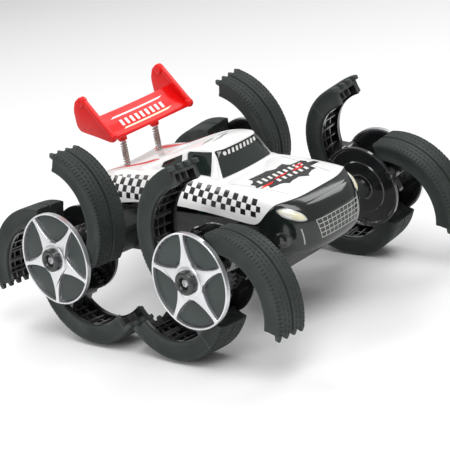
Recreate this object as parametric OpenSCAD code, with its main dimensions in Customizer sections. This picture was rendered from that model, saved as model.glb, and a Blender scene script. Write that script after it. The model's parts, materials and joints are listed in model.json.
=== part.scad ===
// Stunt car with four wheels whose tyres split into three claws each.
// Nose along -Y, car's left along +X, up +Z. The ground under the car's middle is the origin.

/* [Wheels] */
// Clear gap between the open claws of a front and a rear wheel
claw_clear = 2.4; // [1:0.1:12]
// Distance from the car's middle to a wheel's outer face, at hub height
hub_x = 100; // [98:1:118]
// Inward lean of the top of every wheel, in degrees
camber = 5; // [0:0.5:7]
// Radius over a closed wheel's tread
tyre_r = 46; // [42:0.5:50]
// Depth of a claw, from its tread to its inner edge
claw_depth = 12; // [9:0.5:13]
// Width of the tread
tread_w = 23.5; // [21:0.5:28]
// Radial gap between a wheel's bright ring and the closed claws
ring_gap = 4; // [3:0.5:6]
// Direction of an arm of the front stars, in degrees from forward
star_front = 93.5; // [60:0.5:130]
// Direction of an arm of the rear stars, in degrees from rearward
star_rear = 59.6; // [30:0.5:100]

/* [Claws] */
// Angle that a claw swings open
open_angle = 55; // [40:1:56]
// Arc that a claw's rubber covers, in degrees
claw_span = 110; // [100:0.5:113]
// Arc from a claw's pivot to its heel end, in degrees
heel_span = 17.5; // [15:0.5:19]
// Direction of a wheel's first pivot when open, in degrees from forward
pivot_phase = 143.5; // [138:0.5:147]
// Distance of a pivot inside the claw's inner edge
pivot_inset = 7.5; // [7:0.5:8.5]
// Radius of a claw's pivot pin
pin_r = 2; // [1.5:0.1:2.4]
// Thickness of the rubber under the tread
tread_t = 4; // [3:0.5:5]
// Thickness of the rubber side walls
sidewall_t = 2; // [1.5:0.1:2.5]
// Thickness of the claw frame's walls
frame_t = 1.8; // [1.4:0.1:2.4]
// Length of the rubber fingers at a claw's tip
finger_len = 3.6; // [2:0.1:4]

/* [Gears] */
// Teeth on an axle's centre gear
sun_teeth = 27; // [24:3:30]
// Teeth of the full circle that a claw's gear is a part of
claw_teeth = 24; // [22:1:26]
// Thickness of the claw gears
claw_gear_t = 3.8; // [3:0.1:4.5]
// Tooth size (module) of the drive gears
drive_module = 0.6; // [0.5:0.05:0.65]
// Teeth on a rear axle's drive gear
axle_teeth = 32; // [28:1:34]
// Teeth on a motor pinion
pinion_teeth = 10; // [10:1:12]
// Radius of an axle
axle_r = 2.5; // [2:0.1:3]

/* [Body] */
// Distance of the nose ahead of the car's middle
nose_y = 97; // [95:1:108]
// Distance of the tail behind the car's middle
tail_y = 84; // [83:1:100]
// Widest part of the body
body_w = 80; // [80:1:92]
// Height of the roof above the wheel centres
roof_z = 52; // [48:0.5:60]
// Height of the bonnet's front edge above the wheel centres
bonnet_z = 27.5; // [26:0.5:30]
// Thickness of the body's walls
wall = 1.6; // [1.2:0.1:2]
// Width of the roof
roof_w = 41; // [36:1:46]
// Width of the cabin at its foot
cabin_w = 52; // [48:1:54]

/* [Chassis] */
// Width of the tray
tray_w = 66; // [64:1:70]
// Depth of the belly below the wheel centres
belly_z = 18; // [18:0.5:22]
// Thickness of the tray's floor and sides
tray_t = 1.5; // [1.2:0.1:2]
// Radius of a motor's can
motor_r = 10; // [9:0.5:10.5]
// Length of a motor's can
motor_len = 24; // [20:1:26]

/* [Wing] */
// Width over the wing's end plates
wing_w = 76; // [68:1:90]
// Distance of the wing's springs behind the car's middle
spring_y = 66; // [62:1:68]
// Distance between the two springs
spring_gap = 31; // [26:1:34]
// Travel of the sprung wing
wing_travel = 5; // [3:0.5:7]
// Outer radius of a spring
spring_r = 2.3; // [2:0.1:3]

/* [Fits] */
// Running clearance around a shaft or pin
run_fit = 0.08; // [0.05:0.01:0.1]
// Gap between pieces that move past each other
gap = 0.5; // [0.3:0.1:0.8]
// Gap around covers and doors
cover_gap = 0.25; // [0.15:0.05:0.4]

/* [Hidden] */
$fn = 64;
CORNERS = ["front_right", "rear_right", "front_left", "rear_left"];

// claw and wheel, in the wheel's own frame: x forward, y up, z out of the wheel's face
tyre_in = tyre_r - claw_depth;
disc_r = tyre_in - ring_gap;
pivot_r = tyre_in - pivot_inset;
claws = 3;
claw_pitch = 360 / claws;
ring_w = 1.5;
plate_t = 1.8;
face_drop = 1.4;
plate_r = disc_r - ring_w;
plate_back = -face_drop - plate_t;
tread_z0 = plate_back - 0.3;
tread_z1 = tread_z0 - tread_w;
inner_plate_t = 2.5;
inner_plate_z = tread_z1 - gap;
inner_plate_back = inner_plate_z - inner_plate_t;
inner_plate_r = 0.93 * disc_r;
hub_cap_r = 7.5;
hub_cap_h = 4.5;
star_hub_r = 9.5;
arms = 5;
barrel_r = pin_r + 2.2;
barrel_z0 = plate_back - 2 * gap;
barrel_z1 = tread_z1 + gap;
gear_z1 = barrel_z1;
gear_z0 = gear_z1 + claw_gear_t;
frame_z0 = tread_z0 - sidewall_t;
frame_z1 = tread_z1 + sidewall_t;
frame_r = tyre_r - tread_t;
frame_in = tyre_in - 0.6;
tip_angle = -(claw_span - heel_span);
finger_angle = finger_len / tyre_r * 180 / PI;
bearing_r = 5;
bearing_len = 3;
// distance of an open claw's arc centre from the hub, and its direction
open_shift = 2 * pivot_r * sin(open_angle / 2);
open_dir = pivot_phase - 90 + open_angle / 2;
// how far the second claw's fingertips reach towards the other wheel, and so the wheelbase
tip_dir = pivot_phase + claw_pitch + open_angle + tip_angle - finger_angle;
claw_reach = -open_shift * cos(open_dir + claw_pitch) - tyre_r * cos(tip_dir);
wheelbase = 2 * claw_reach + claw_clear;
// how far the lowest claw reaches below the hub, and so the hub's height
claw_drop = tyre_r - open_shift * sin(open_dir + claw_pitch);
hub_z = claw_drop * cos(camber) - tread_z1 * sin(camber);

// gears
claw_module = 2 * pivot_r / (sun_teeth + claw_teeth);
backlash = 0.2;
axle_centre = drive_module * (axle_teeth + pinion_teeth) / 2;
// direction of the motor from the axle, in the wheel's frame, and the depths of the drive gears
motor_dir = 135;
tray_x = tray_w / 2;
case_z1 = tray_x + 2 - hub_x;
case_z0 = case_z1 + 15;
drive_z1 = case_z1 + 9;
drive_z0 = drive_z1 + 4;
case_r = drive_module * (axle_teeth / 2 + 1) + 2.2;
case_t = 1.4;
lobe_r = drive_module * (pinion_teeth / 2 + 1) + 1 + case_t;
sleeve_r = 6.5;
sleeve_z0 = inner_plate_back - bearing_len - gap;
axle_end = case_z1 + 4;
pinion_shaft_r = 1;
flange_t = 4;
tray_front = -74;
tray_rear = 74;
tray_top = hub_z + 12;
tray_z = hub_z - belly_z;

// springs and wing
spring_z0 = hub_z + 32.4;
spring_z1 = hub_z + 50.6;
rod_r = 1.1;
deck_post_r = 3.2;

// outline of the whole body and nose from the side: [distance behind the middle, height over the hubs]
cabin_y = -27.4;
bonnet_y = -77;
bonnet_rear_z = 33;
deck_z = 31;
skirt_z = 12.5;
skirt_y = -64;
shell_side = [
  [bonnet_y, bonnet_z], [-52, bonnet_z + 3.6], [cabin_y, bonnet_rear_z], [0, 35.5], [40, 34.5],
  [tail_y - 6, deck_z], [tail_y, deck_z - 5], [tail_y - 2, 14],
  [55, 15], [30, 20], [0, 20], [-30, 16.5], [skirt_y, skirt_z], [skirt_y - 5, 20]];
nose_side = [
  [skirt_y, skirt_z], [skirt_y - 5, 20], [bonnet_y, bonnet_z], [-84, bonnet_z - 2], [-91.5, 22],
  [1.5 - nose_y, 14], [-nose_y, 10], [-nose_y, 1], [4 - nose_y, -7], [11 - nose_y, -9.6], [skirt_y - 2, -8]];
cabin_side = [
  [cabin_y, bonnet_rear_z - 8], [cabin_y, bonnet_rear_z], [-23.5, roof_z - 1.2], [-21, roof_z],
  [2, roof_z - 0.8], [18, roof_z - 5.2], [40, roof_z - 13], [60, roof_z - 18.4], [tail_y - 7, deck_z - 0.5],
  [tail_y - 7, deck_z - 8]];
// outline from above: [half width, distance behind the middle]
body_plan = [
  [18, -nose_y], [24, 3.5 - nose_y], [29, 9 - nose_y], [34.5, -79], [37.5, -72], [body_w / 2 - 1.2, -62],
  [body_w / 2, -30], [body_w / 2, 20], [body_w / 2 - 0.8, 66], [body_w / 2 - 3, 76], [33, tail_y]];
// section across the body: [half width, height over the hubs]
flank = [[body_w / 2, -12], [body_w / 2, 17], [body_w / 2 - 7, 28], [body_w / 2 - 13, 36.5], [roof_w / 2 - 4, 38]];
cabin_front = [[cabin_w / 2 + 1, 24], [cabin_w / 2, bonnet_rear_z], [roof_w / 2 + 0.8, roof_z - 2.5],
  [roof_w / 2 - 2, roof_z + 0.5]];

// ---------- helpers ----------

function mirrored(half) = concat(half, [for (i = [len(half) - 1 : -1 : 0]) [-half[i][0], half[i][1]]]);
function polar(r, a) = [r * cos(a), r * sin(a)];
function inv_angle(a) = tan(a) * 180 / PI - a;
// half the angle that a tooth fills at radius q of a gear with n teeth and pitch radius r
function tooth_half(n, r, q) =
  90 / n - backlash / 4 / r * 180 / PI + inv_angle(20) - inv_angle(acos(min(1, r * cos(20) / q)));
function tooth(n, m, a) =
  let (r = n * m / 2, root = r - 1.15 * m, tip = r + 0.85 * m, low = max(root, r * cos(20)))
  [for (q = [root, low, (low + tip) / 2, tip]) polar(q, a - tooth_half(n, r, max(q, low))),
   for (q = [tip, (low + tip) / 2, low, root]) polar(q, a + tooth_half(n, r, max(q, low)))];

module gear(n, m, first) {
  polygon([for (i = [0 : n - 1]) each tooth(n, m, first + i * 360 / n)]);
}

module gear_part(n, m, first, count) {
  polygon([[0, 0], each [for (i = [0 : count - 1]) each tooth(n, m, first + i * 360 / n)]]);
}

// a stretch of a ring, from radius r0 to r1, depths z0 to z1, angles a0 to a1
module arc_block(r0, r1, z0, z1, a0, a1) {
  rotate([0, 0, a0])
    rotate_extrude(angle = a1 - a0)
      translate([r0, min(z0, z1)])
        square([r1 - r0, abs(z1 - z0)]);
}

// a disc or shaft from depth z0 to z1
module disc(r, z0, z1) {
  translate([0, 0, min(z0, z1)])
    cylinder(r = r, h = abs(z1 - z0));
}

module slab(z0, z1) {
  translate([0, 0, min(z0, z1)])
    linear_extrude(abs(z1 - z0))
      children();
}

// wheel frame of a corner: x forward on a front wheel and rearward on a rear wheel
module at_right_wheel(rear) {
  translate([-hub_x, rear ? wheelbase / 2 : -wheelbase / 2, hub_z])
    rotate([0, camber, 0])
      rotate([90, 0, -90])
        if (rear)
          mirror([1, 0, 0])
            children();
        else
          children();
}

module at_wheel(corner) {
  rear = corner == 1 || corner == 3;
  if (corner > 1)
    mirror([1, 0, 0])
      at_right_wheel(rear)
        children();
  else
    at_right_wheel(rear)
      children();
}

// claw frame: the claw's arc centre at the origin and its pivot on the x axis
module at_claw(k) {
  rotate([0, 0, pivot_phase + k * claw_pitch])
    translate([pivot_r, 0, 0])
      rotate([0, 0, open_angle])
        translate([-pivot_r, 0, 0])
          children();
}

// ---------- wheels ----------

module axle(corner) {
  driven = corner == 1 || corner == 3;
  color("silver")
    at_wheel(corner)
      union() {
        disc(axle_r, axle_end, plate_back - 1);
        slab(gear_z1, gear_z0)
          gear(sun_teeth, claw_module, pivot_phase);
        if (driven)
          slab(drive_z1, drive_z0)
            gear(axle_teeth, drive_module, motor_dir);
        else
          disc(bearing_r, drive_z1, drive_z0);
      }
}

module hub_cap(corner) {
  color([0.15, 0.16, 0.16])
    at_wheel(corner)
      difference() {
        union() {
          disc(hub_cap_r, -face_drop, hub_cap_h - 1);
          disc(hub_cap_r - 1, hub_cap_h - 1, hub_cap_h);
        }
        disc(3.6, hub_cap_h - 2.5, hub_cap_h + 1);
        disc(1.2, 0, hub_cap_h + 1);
      }
}

module star_arm() {
  polygon([[hub_cap_r + 0.6, -5], [11.5, -3.2], [16, -2], [plate_r - 6, -1.2], [plate_r - 2.4, -1.5], [disc_r - 0.6, -3],
    [disc_r - 0.6, 3], [plate_r - 2.4, 1.5], [plate_r - 6, 1.2], [16, 2], [11.5, 3.2], [hub_cap_r + 0.6, 5]]);
}

module star_trim(corner) {
  phase = (corner == 0 || corner == 2) ? star_front : star_rear;
  color([0.85, 0.86, 0.88])
    at_wheel(corner)
      difference() {
        union() {
          disc(star_hub_r, -face_drop, 0);
          for (i = [0 : arms - 1])
            rotate([0, 0, phase + i * 360 / arms])
              slab(-face_drop, 0)
                star_arm();
          difference() {
            disc(disc_r, plate_back, 0);
            disc(plate_r, plate_back - 1, 1);
          }
        }
        disc(hub_cap_r, -face_drop - 1, 1);
      }
}

module outer_plate(corner) {
  color([0.22, 0.24, 0.24])
    at_wheel(corner)
      difference() {
        union() {
          disc(plate_r, plate_back, -face_drop);
          for (k = [0 : claws - 1])
            rotate([0, 0, pivot_phase + k * claw_pitch])
              translate([pivot_r - 0.5, 0, 0])
                disc(pin_r + 1, plate_back, plate_back - gap);
          disc(bearing_r, plate_back, plate_back - bearing_len);
        }
        disc(axle_r + run_fit, plate_back - bearing_len - 1, -face_drop - 0.6);
        for (k = [0 : claws - 1])
          rotate([0, 0, pivot_phase + k * claw_pitch])
            translate([pivot_r, 0, 0])
              disc(pin_r, plate_back - 2, -face_drop - 0.6);
      }
}

module inner_plate(corner) {
  color([0.06, 0.06, 0.07])
    at_wheel(corner)
      difference() {
        union() {
          disc(inner_plate_r, inner_plate_back, inner_plate_z);
          disc(bearing_r + 1, inner_plate_back - bearing_len, inner_plate_back);
          for (k = [0 : claws - 1])
            rotate([0, 0, pivot_phase + k * claw_pitch])
              translate([pivot_r, 0, 0])
                disc(pin_r, inner_plate_back, -face_drop - 0.6);
        }
        disc(axle_r + run_fit, inner_plate_back - bearing_len - 1, inner_plate_z + 1);
      }
}

// the heel lies under the next claw's tip when the wheel is closed
heel_r = frame_in - 1;
heel_in = heel_r - 5;
heel_a0 = 4;
heel_a1 = 31;

module claw_frame(corner, k) {
  color([0.05, 0.05, 0.06])
    at_wheel(corner)
      at_claw(k)
        difference() {
          union() {
            difference() {
              arc_block(frame_in, frame_r, frame_z1, frame_z0, tip_angle, heel_span);
              arc_block(frame_in - 1, frame_r - frame_t, frame_z1 + frame_t, frame_z0 - frame_t,
                tip_angle - 2, heel_span - frame_t / frame_r * 60);
            }
            for (a = [tip_angle + 12 : 22 : -12])
              arc_block(frame_in + 2, frame_r - 0.5, frame_z1 + 0.5, frame_z0 - 0.5, a, a + 3);
            slab(frame_z1 + 2.5, frame_z0 - 0.5)
              polygon([[pivot_r - 2, -3.6], polar(frame_in + 2, -13), polar(frame_in + 2, heel_span - 0.5),
                [pivot_r - 1, 4]]);
            translate([pivot_r, 0, 0])
              disc(barrel_r, barrel_z1, barrel_z0);
            difference() {
              arc_block(heel_in, heel_r, frame_z1 + 2.5, frame_z0 - 0.5, heel_a0, heel_a1);
              for (a = [heel_span + 2 : 4 : heel_a1 - 2])
                arc_block(heel_r - 1.2, heel_r + 1, frame_z1, frame_z0, a, a + 1.8);
            }
            translate([pivot_r, 0, 0])
              slab(gear_z1, gear_z0)
                gear_part(claw_teeth, claw_module, 180 - open_angle - 1.5 * 360 / claw_teeth, 8);
          }
          translate([pivot_r, 0, 0])
            disc(pin_r + run_fit, barrel_z1 - 1, barrel_z0 + 1);
        }
}

module claw_tread(corner, k) {
  groove_w = 1.6;
  middle = (tread_z0 + tread_z1) / 2;
  fingers = 4;
  finger_w = tread_w / (2 * fingers - 1);
  color([0.2, 0.22, 0.21])
    at_wheel(corner)
      at_claw(k)
        difference() {
          arc_block(tyre_in, tyre_r, tread_z1, tread_z0, tip_angle - finger_angle, heel_span);
          arc_block(tyre_in - 1, frame_r, frame_z1, frame_z0, tip_angle - finger_angle - 2, heel_span + 1);
          // fingers: the tip keeps only the tread, and slots part it
          arc_block(tyre_in - 2, frame_r + 0.4, tread_z1 - 1, tread_z0 + 1, tip_angle - finger_angle - 3, tip_angle);
          for (i = [0 : fingers - 2])
            arc_block(tyre_in - 3, tyre_r + 2, tread_z1 + (2 * i + 1) * finger_w, tread_z1 + (2 * i + 2) * finger_w,
              tip_angle - finger_angle - 4, tip_angle + 0.5);
          arc_block(tyre_r - 1.6, tyre_r + 1, middle - groove_w / 2, middle + groove_w / 2,
            tip_angle - finger_angle - 1, heel_span + 1);
        }
}

// ---------- body ----------

// solid inside a side outline
module side_solid(outline) {
  translate([-body_w, 0, hub_z])
    rotate([90, 0, 90])
      linear_extrude(2 * body_w)
        polygon(outline);
}

module plan_solid(t) {
  translate([0, 0, -1])
    linear_extrude(hub_z + roof_z + 20)
      polygon(mirrored([for (p = body_plan) [p[0] - t, p[1] + (p[1] < 0 ? t : -t)]]));
}

module front_solid(half, t) {
  translate([0, tail_y + 10, hub_z])
    rotate([90, 0, 0])
      linear_extrude(nose_y + tail_y + 20)
        polygon(mirrored([for (p = half) [p[0] - t, p[1] - t]]));
}

module shell_solid(t, z) {
  translate([0, 0, z])
    intersection() {
      side_solid(shell_side);
      plan_solid(t);
      front_solid(flank, t);
    }
}

module cabin_solid(t) {
  intersection() {
    translate([0, 0, -t])
      side_solid([for (p = cabin_side) [p[0] + (p[0] < 0 ? t : -t), p[1]]]);
    front_solid(cabin_front, t);
  }
}

module nose_solid(t) {
  intersection() {
    side_solid([for (p = nose_side) [p[0] + (p[0] < bonnet_y - 5 ? t : 0), p[1] + (p[1] > 5 ? -t : t)]]);
    plan_solid(t);
    front_solid(flank, t);
  }
}

// openings for the windscreen and the side windows, seen from the front and the side
module windscreen_cut() {
  z0 = bonnet_rear_z + 1.5;
  z1 = roof_z - 2.6;
  translate([0, cabin_y + 8, hub_z])
    rotate([90, 0, 0])
      linear_extrude(12)
        polygon(mirrored([[cabin_w / 2 - 2.6, z0], [cabin_w / 2 - 2.8, z0 + 3], [roof_w / 2 - 0.6, z1 - 1],
          [roof_w / 2 - 2.4, z1]]));
}

module side_window_cut() {
  z0 = bonnet_rear_z + 2.5;
  z1 = roof_z - 4;
  for (s = [-1, 1])
    translate([s > 0 ? roof_w / 2 - 7 : -roof_w / 2 - 7, 0, hub_z])
      rotate([90, 0, 90])
        linear_extrude(14) {
          polygon([[-20, z0], [2, z0], [3, z1 - 2], [1, z1], [-17, z1 + 0.4], [-18.5, z1 - 1]]);
          polygon([[7.5, z0 + 2], [24, z0 + 2], [22, z0 + 5.5], [8, z1 - 1.6]]);
        }
}

module screw_posts(r, z0, z1) {
  for (x = [-28, 28], y = [-48, 30])
    translate([x, y, 0])
      disc(r, z0, z1);
}

post_foot = tray_z + tray_t;
screw_head_r = 2.6;
screw_head_z = tray_z + tray_t * 0.55;

module body_shell() {
  color("white")
    difference() {
      union() {
        difference() {
          union() {
            shell_solid(0, 0);
            cabin_solid(0);
          }
          shell_solid(wall, -wall);
          cabin_solid(wall);
          translate([0, 0, -3])
            shell_solid(wall, -wall);
          nose_solid(0);
          windscreen_cut();
          side_window_cut();
        }
        intersection() {
          screw_posts(3.4, post_foot, hub_z + roof_z);
          union() {
            shell_solid(0.4, -0.5);
            screw_posts(3.4, post_foot, hub_z + 30);
          }
        }
        for (x = [-spring_gap / 2, spring_gap / 2])
          translate([x, spring_y, 0])
            disc(deck_post_r, hub_z + 24, spring_z0);
      }
      screw_posts(1.3, post_foot - 1, post_foot + 12);
      for (x = [-spring_gap / 2, spring_gap / 2])
        translate([x, spring_y, 0])
          union() {
            disc(rod_r + run_fit, hub_z + 10, spring_z0 + 1);
            disc(spring_r + 0.2, spring_z0 - 0.05, spring_z0 + 5);
          }
    }
}

module headlight_zone() {
  for (s = [-1, 1])
    translate([s * 31, -84, hub_z + 18.4])
      rotate([38, 0, s * -35])
        translate([0, 0, -3])
          linear_extrude(14)
            polygon([[-8, -4.6], [4, -4.6], [8.4, 0], [8, 3.6], [-4, 5], [-8.6, 1]]);
}

module nose_skin() {
  difference() {
    nose_solid(0);
    nose_solid(wall);
  }
}

module nose_fascia() {
  color([0.05, 0.05, 0.06])
    difference() {
      nose_skin();
      headlight_zone();
      translate([-tray_x - gap, tray_front - gap, tray_z - 1])
        cube([tray_w + 2 * gap, 60, tray_top - tray_z + 1 + gap]);
      for (corner = [0, 2])
        at_wheel(corner)
          disc(case_r + 1, case_z1 - 10, 0);
      for (s = [-1, 1])
        translate([s > 0 ? tray_x - gap : -tray_x - flange_t - gap, -wheelbase / 2 - case_r - 2 - gap, tray_z + 1 - gap])
          cube([flange_t + 2 * gap, 2 * (case_r + 2 + gap), tray_top - tray_z - 2 + 2 * gap]);
      for (i = [-4 : 4], j = [0 : 2])
        translate([i * 4.3 - 1.6, -nose_y - 1, hub_z + 1.6 + j * 3.6])
          cube([3.2, wall - 0.2, 2.6]);
    }
}

module headlights() {
  color([0.95, 0.93, 0.8])
    intersection() {
      nose_skin();
      headlight_zone();
    }
}

module window_insert() {
  color([0.06, 0.08, 0.08])
    union() {
      difference() {
        cabin_solid(wall);
        cabin_solid(wall + 1.2);
        translate([-50, 30, hub_z])
          cube([100, 60, 80]);
        translate([-50, -60, hub_z - 10])
          cube([100, 120, bonnet_rear_z + 8]);
      }
      intersection() {
        difference() {
          cabin_solid(0);
          cabin_solid(wall);
          shell_solid(wall, -wall);
        }
        union() {
          windscreen_cut();
          side_window_cut();
        }
      }
    }
}

// ---------- wing ----------

wing_x = wing_w / 2;
plate_w = 1.8;
blade = [[51.5, 57.2], [53, 60], [58, 63.6], [63, 67.4], [67, 71], [68.5, 71.2], [67.5, 68.4], [63, 64.2],
  [58.5, 60.6], [54, 57.4]];
end_plate = [[48.5, 60], [50, 57.2], [56, 57.8], [68, 60.6], [80, 63], [82.5, 68], [82, 78], [77, 85.6], [72, 86]];

module rear_wing() {
  color([0.9, 0.06, 0.05])
    union() {
      side_prism(blade, -wing_x + 0.5, wing_x - 0.5);
      for (s = [-1, 1]) {
        side_prism(end_plate, s * (wing_x - plate_w / 2) - plate_w / 2, s * (wing_x - plate_w / 2) + plate_w / 2);
        knob(s, 74, 83.4, 3.1);
        knob(s, 51, 60.4, 2.3);
        translate([s * spring_gap / 2, spring_y, 0]) {
          disc(spring_r + 0.9, spring_z1, hub_z + 67.5);
          disc(rod_r, hub_z + 18, hub_z + 60);
          disc(rod_r + 1, hub_z + 18, hub_z + 24 - 0.4);
        }
      }
    }
}

module side_prism(outline, x0, x1) {
  translate([x0, 0, hub_z])
    rotate([90, 0, 90])
      linear_extrude(x1 - x0)
        polygon(outline);
}

module knob(side, y, z, r) {
  translate([side * (wing_x - 1) - 2, y, hub_z + z])
    rotate([0, 90, 0])
      cylinder(r = r, h = 4);
}

module wing_springs() {
  wire_r = 0.45;
  pitch = 1.7;
  turns = floor((spring_z1 - spring_z0) / pitch);
  color([0.5, 0.48, 0.45])
    for (x = [-spring_gap / 2, spring_gap / 2])
      translate([x, spring_y, spring_z0])
        difference() {
          union() {
            cylinder(r = spring_r - 0.5, h = spring_z1 - spring_z0);
            for (i = [0 : turns - 1])
              translate([0, 0, (i + 0.5) * (spring_z1 - spring_z0) / turns])
                rotate_extrude()
                  translate([spring_r - wire_r, 0])
                    circle(r = wire_r, $fn = 16);
          }
          translate([0, 0, -1])
            cylinder(r = rod_r + 0.3, h = spring_z1 - spring_z0 + 2);
        }
}

// ---------- chassis ----------

door_l = 58;
door_w = 36;
door_y = -9;
pack_l = 52;
pack_w = 30;
pack_h = 15;

module door_hole(extra, z0, z1) {
  translate([-door_w / 2 - extra, door_y - door_l / 2 - extra, z0])
    cube([door_w + 2 * extra, door_l + 2 * extra, z1 - z0]);
}

switch_x = 24;
switch_y = 17;
switch_travel = 2;

module chassis_tray() {
  color([0.09, 0.09, 0.1])
    difference() {
      union() {
        translate([-tray_x, tray_front, tray_z])
          cube([tray_w, tray_rear - tray_front, tray_top - tray_z]);
      }
      translate([-tray_x + tray_t, tray_front + tray_t, tray_z + tray_t])
        cube([tray_w - 2 * tray_t, tray_rear - tray_front - 2 * tray_t, tray_top]);
      door_hole(cover_gap, tray_z - 1, tray_z + tray_t + 1);
      screw_posts(1.6, tray_z - 1, tray_z + tray_t + 1);
      screw_posts(screw_head_r + 0.1, tray_z - 1, screw_head_z);
      for (corner = [1, 3])
        at_wheel(corner)
          rotate([0, 0, motor_dir])
            translate([axle_centre, 0, 0])
              disc(pinion_shaft_r + 2, case_z1 + 2, case_z1 - 8);
      translate([switch_x - 3, switch_y - 3 - switch_travel, tray_z - 1])
        cube([6, 6 + 2 * switch_travel, tray_t + 2]);
    }
}

// axle case in the wheel's frame; grow 0 is its outside and 1 its hollow
module case_form(driven, grow) {
  cut = grow * case_t;
  disc(case_r - cut, case_z1 + cut, case_z0 - cut);
  if (driven)
    rotate([0, 0, motor_dir])
      translate([0, cut - lobe_r, case_z1 + cut])
        cube([axle_centre + lobe_r - cut, 2 * (lobe_r - cut), case_z0 - case_z1 - 2 * cut]);
}

module gearbox_cases() {
  color([0.13, 0.13, 0.14])
    for (corner = [0 : 3])
      difference() {
        driven = corner == 1 || corner == 3;
        y = driven ? wheelbase / 2 : -wheelbase / 2;
        side = corner > 1 ? 1 : -1;
        union() {
          at_wheel(corner)
            case_form(driven, 0);
          at_wheel(corner)
            disc(sleeve_r, case_z0 - 1, sleeve_z0);
          translate([side > 0 ? tray_x : -tray_x - flange_t, y - case_r - 2, tray_z + 1])
            cube([flange_t, 2 * case_r + 4, tray_top - tray_z - 2]);
        }
        at_wheel(corner) {
          case_form(driven, 1);
          disc(axle_r + run_fit, case_z0 - case_t - 1, sleeve_z0 + 1);
          if (driven)
            rotate([0, 0, motor_dir])
              translate([axle_centre, 0, 0])
                disc(pinion_shaft_r + 0.4, case_z1 - 8, case_z1 + 4);
        }
        translate([side > 0 ? 0 : -tray_x, y - 40, 0])
          cube([tray_x, 80, hub_z + 40]);
      }
}

motor_z = case_z1 - 5.5;

module drive_motors() {
  color([0.72, 0.73, 0.75])
    for (corner = [1, 3])
      at_wheel(corner)
        rotate([0, 0, motor_dir])
          translate([axle_centre, 0, 0])
            difference() {
              union() {
                disc(motor_r, motor_z - motor_len, motor_z);
                disc(3, motor_z, motor_z + 1.2);
              }
              disc(pinion_shaft_r + 0.3, motor_z - 3, motor_z + 2);
            }
}

module motor_pinion(corner) {
  color([0.85, 0.75, 0.4])
    at_wheel(corner)
      rotate([0, 0, motor_dir])
        translate([axle_centre, 0, 0])
          union() {
            slab(drive_z1, drive_z0)
              gear(pinion_teeth, drive_module, 180 + 180 / pinion_teeth);
            disc(pinion_shaft_r, motor_z - 2, drive_z0 + 0.5);
          }
}

module battery_pack() {
  color([0.1, 0.35, 0.75])
    translate([-pack_w / 2, door_y - pack_l / 2, tray_z + tray_t + 0.8])
      difference() {
        cube([pack_w, pack_l, pack_h]);
        translate([4, -1, pack_h - 3])
          cube([6, 5, 4]);
      }
}

module battery_door() {
  color([0.12, 0.12, 0.13])
    difference() {
      union() {
        door_hole(0, tray_z, tray_z + tray_t);
        translate([-6, door_y + door_l / 2 - 4, tray_z + tray_t])
          cube([12, 3, 0.7]);
      }
      for (i = [0 : 4])
        translate([-12, door_y - 22 + i * 4, tray_z - 0.1])
          cube([24, 1.6, 0.6]);
      translate([0, door_y + door_l / 2 - 10, tray_z - 1])
        cylinder(r = 1.4, h = tray_t + 2);
    }
}

board_z = tray_z + tray_t + 19;

module circuit_board() {
  color([0.1, 0.45, 0.2])
    union() {
      translate([-22, -40, board_z])
        cube([44, 50, 1.6]);
      for (p = [[-14, -30, 8, 8, 2], [4, -24, 10, 7, 1.8], [-12, -8, 6, 12, 3], [10, -6, 5, 9, 7]])
        translate([p[0], p[1], board_z + 1.6])
          cube([p[2], p[3], p[4]]);
      for (x = [-18, 16])
        translate([x, 2, board_z + 1.6])
          cylinder(r = 2.5, h = 8);
      for (x = [-20, 20], y = [-38, 8])
        translate([x, y, tray_z + tray_t])
          cylinder(r = 1.6, h = board_z - tray_z - tray_t);
    }
}

module power_switch() {
  color([0.1, 0.1, 0.1])
    union() {
      translate([switch_x - 2.6, switch_y - 2.4, tray_z + 0.3])
        cube([5.2, 4.8, tray_t + 1]);
      translate([switch_x - 4.5, switch_y - 5, tray_z + tray_t + 0.3])
        cube([9, 10, 2.2]);
    }
}

module body_screws() {
  color([0.75, 0.75, 0.76]) {
    screw_posts(screw_head_r, tray_z + 0.1, screw_head_z);
    screw_posts(1.2, tray_z + 0.1, post_foot + 9);
  }
}

// ---------- what to draw ----------

for (i = [0 : 3]) {
  axle(i);
  hub_cap(i);
  star_trim(i);
  outer_plate(i);
  inner_plate(i);
  for (k = [0 : 2]) {
    claw_frame(i, k);
    claw_tread(i, k);
  }
}
body_shell();
nose_fascia();
window_insert();
headlights();
rear_wing();
wing_springs();
chassis_tray();
gearbox_cases();
drive_motors();
motor_pinion(1);  // right_motor_pinion
motor_pinion(3);  // left_motor_pinion
battery_pack();
battery_door();
circuit_board();
power_switch();
body_screws();
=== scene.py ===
import json
import math
import random
import bpy
import bmesh
from mathutils import Matrix, Vector
from mathutils.bvhtree import BVHTree


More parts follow.
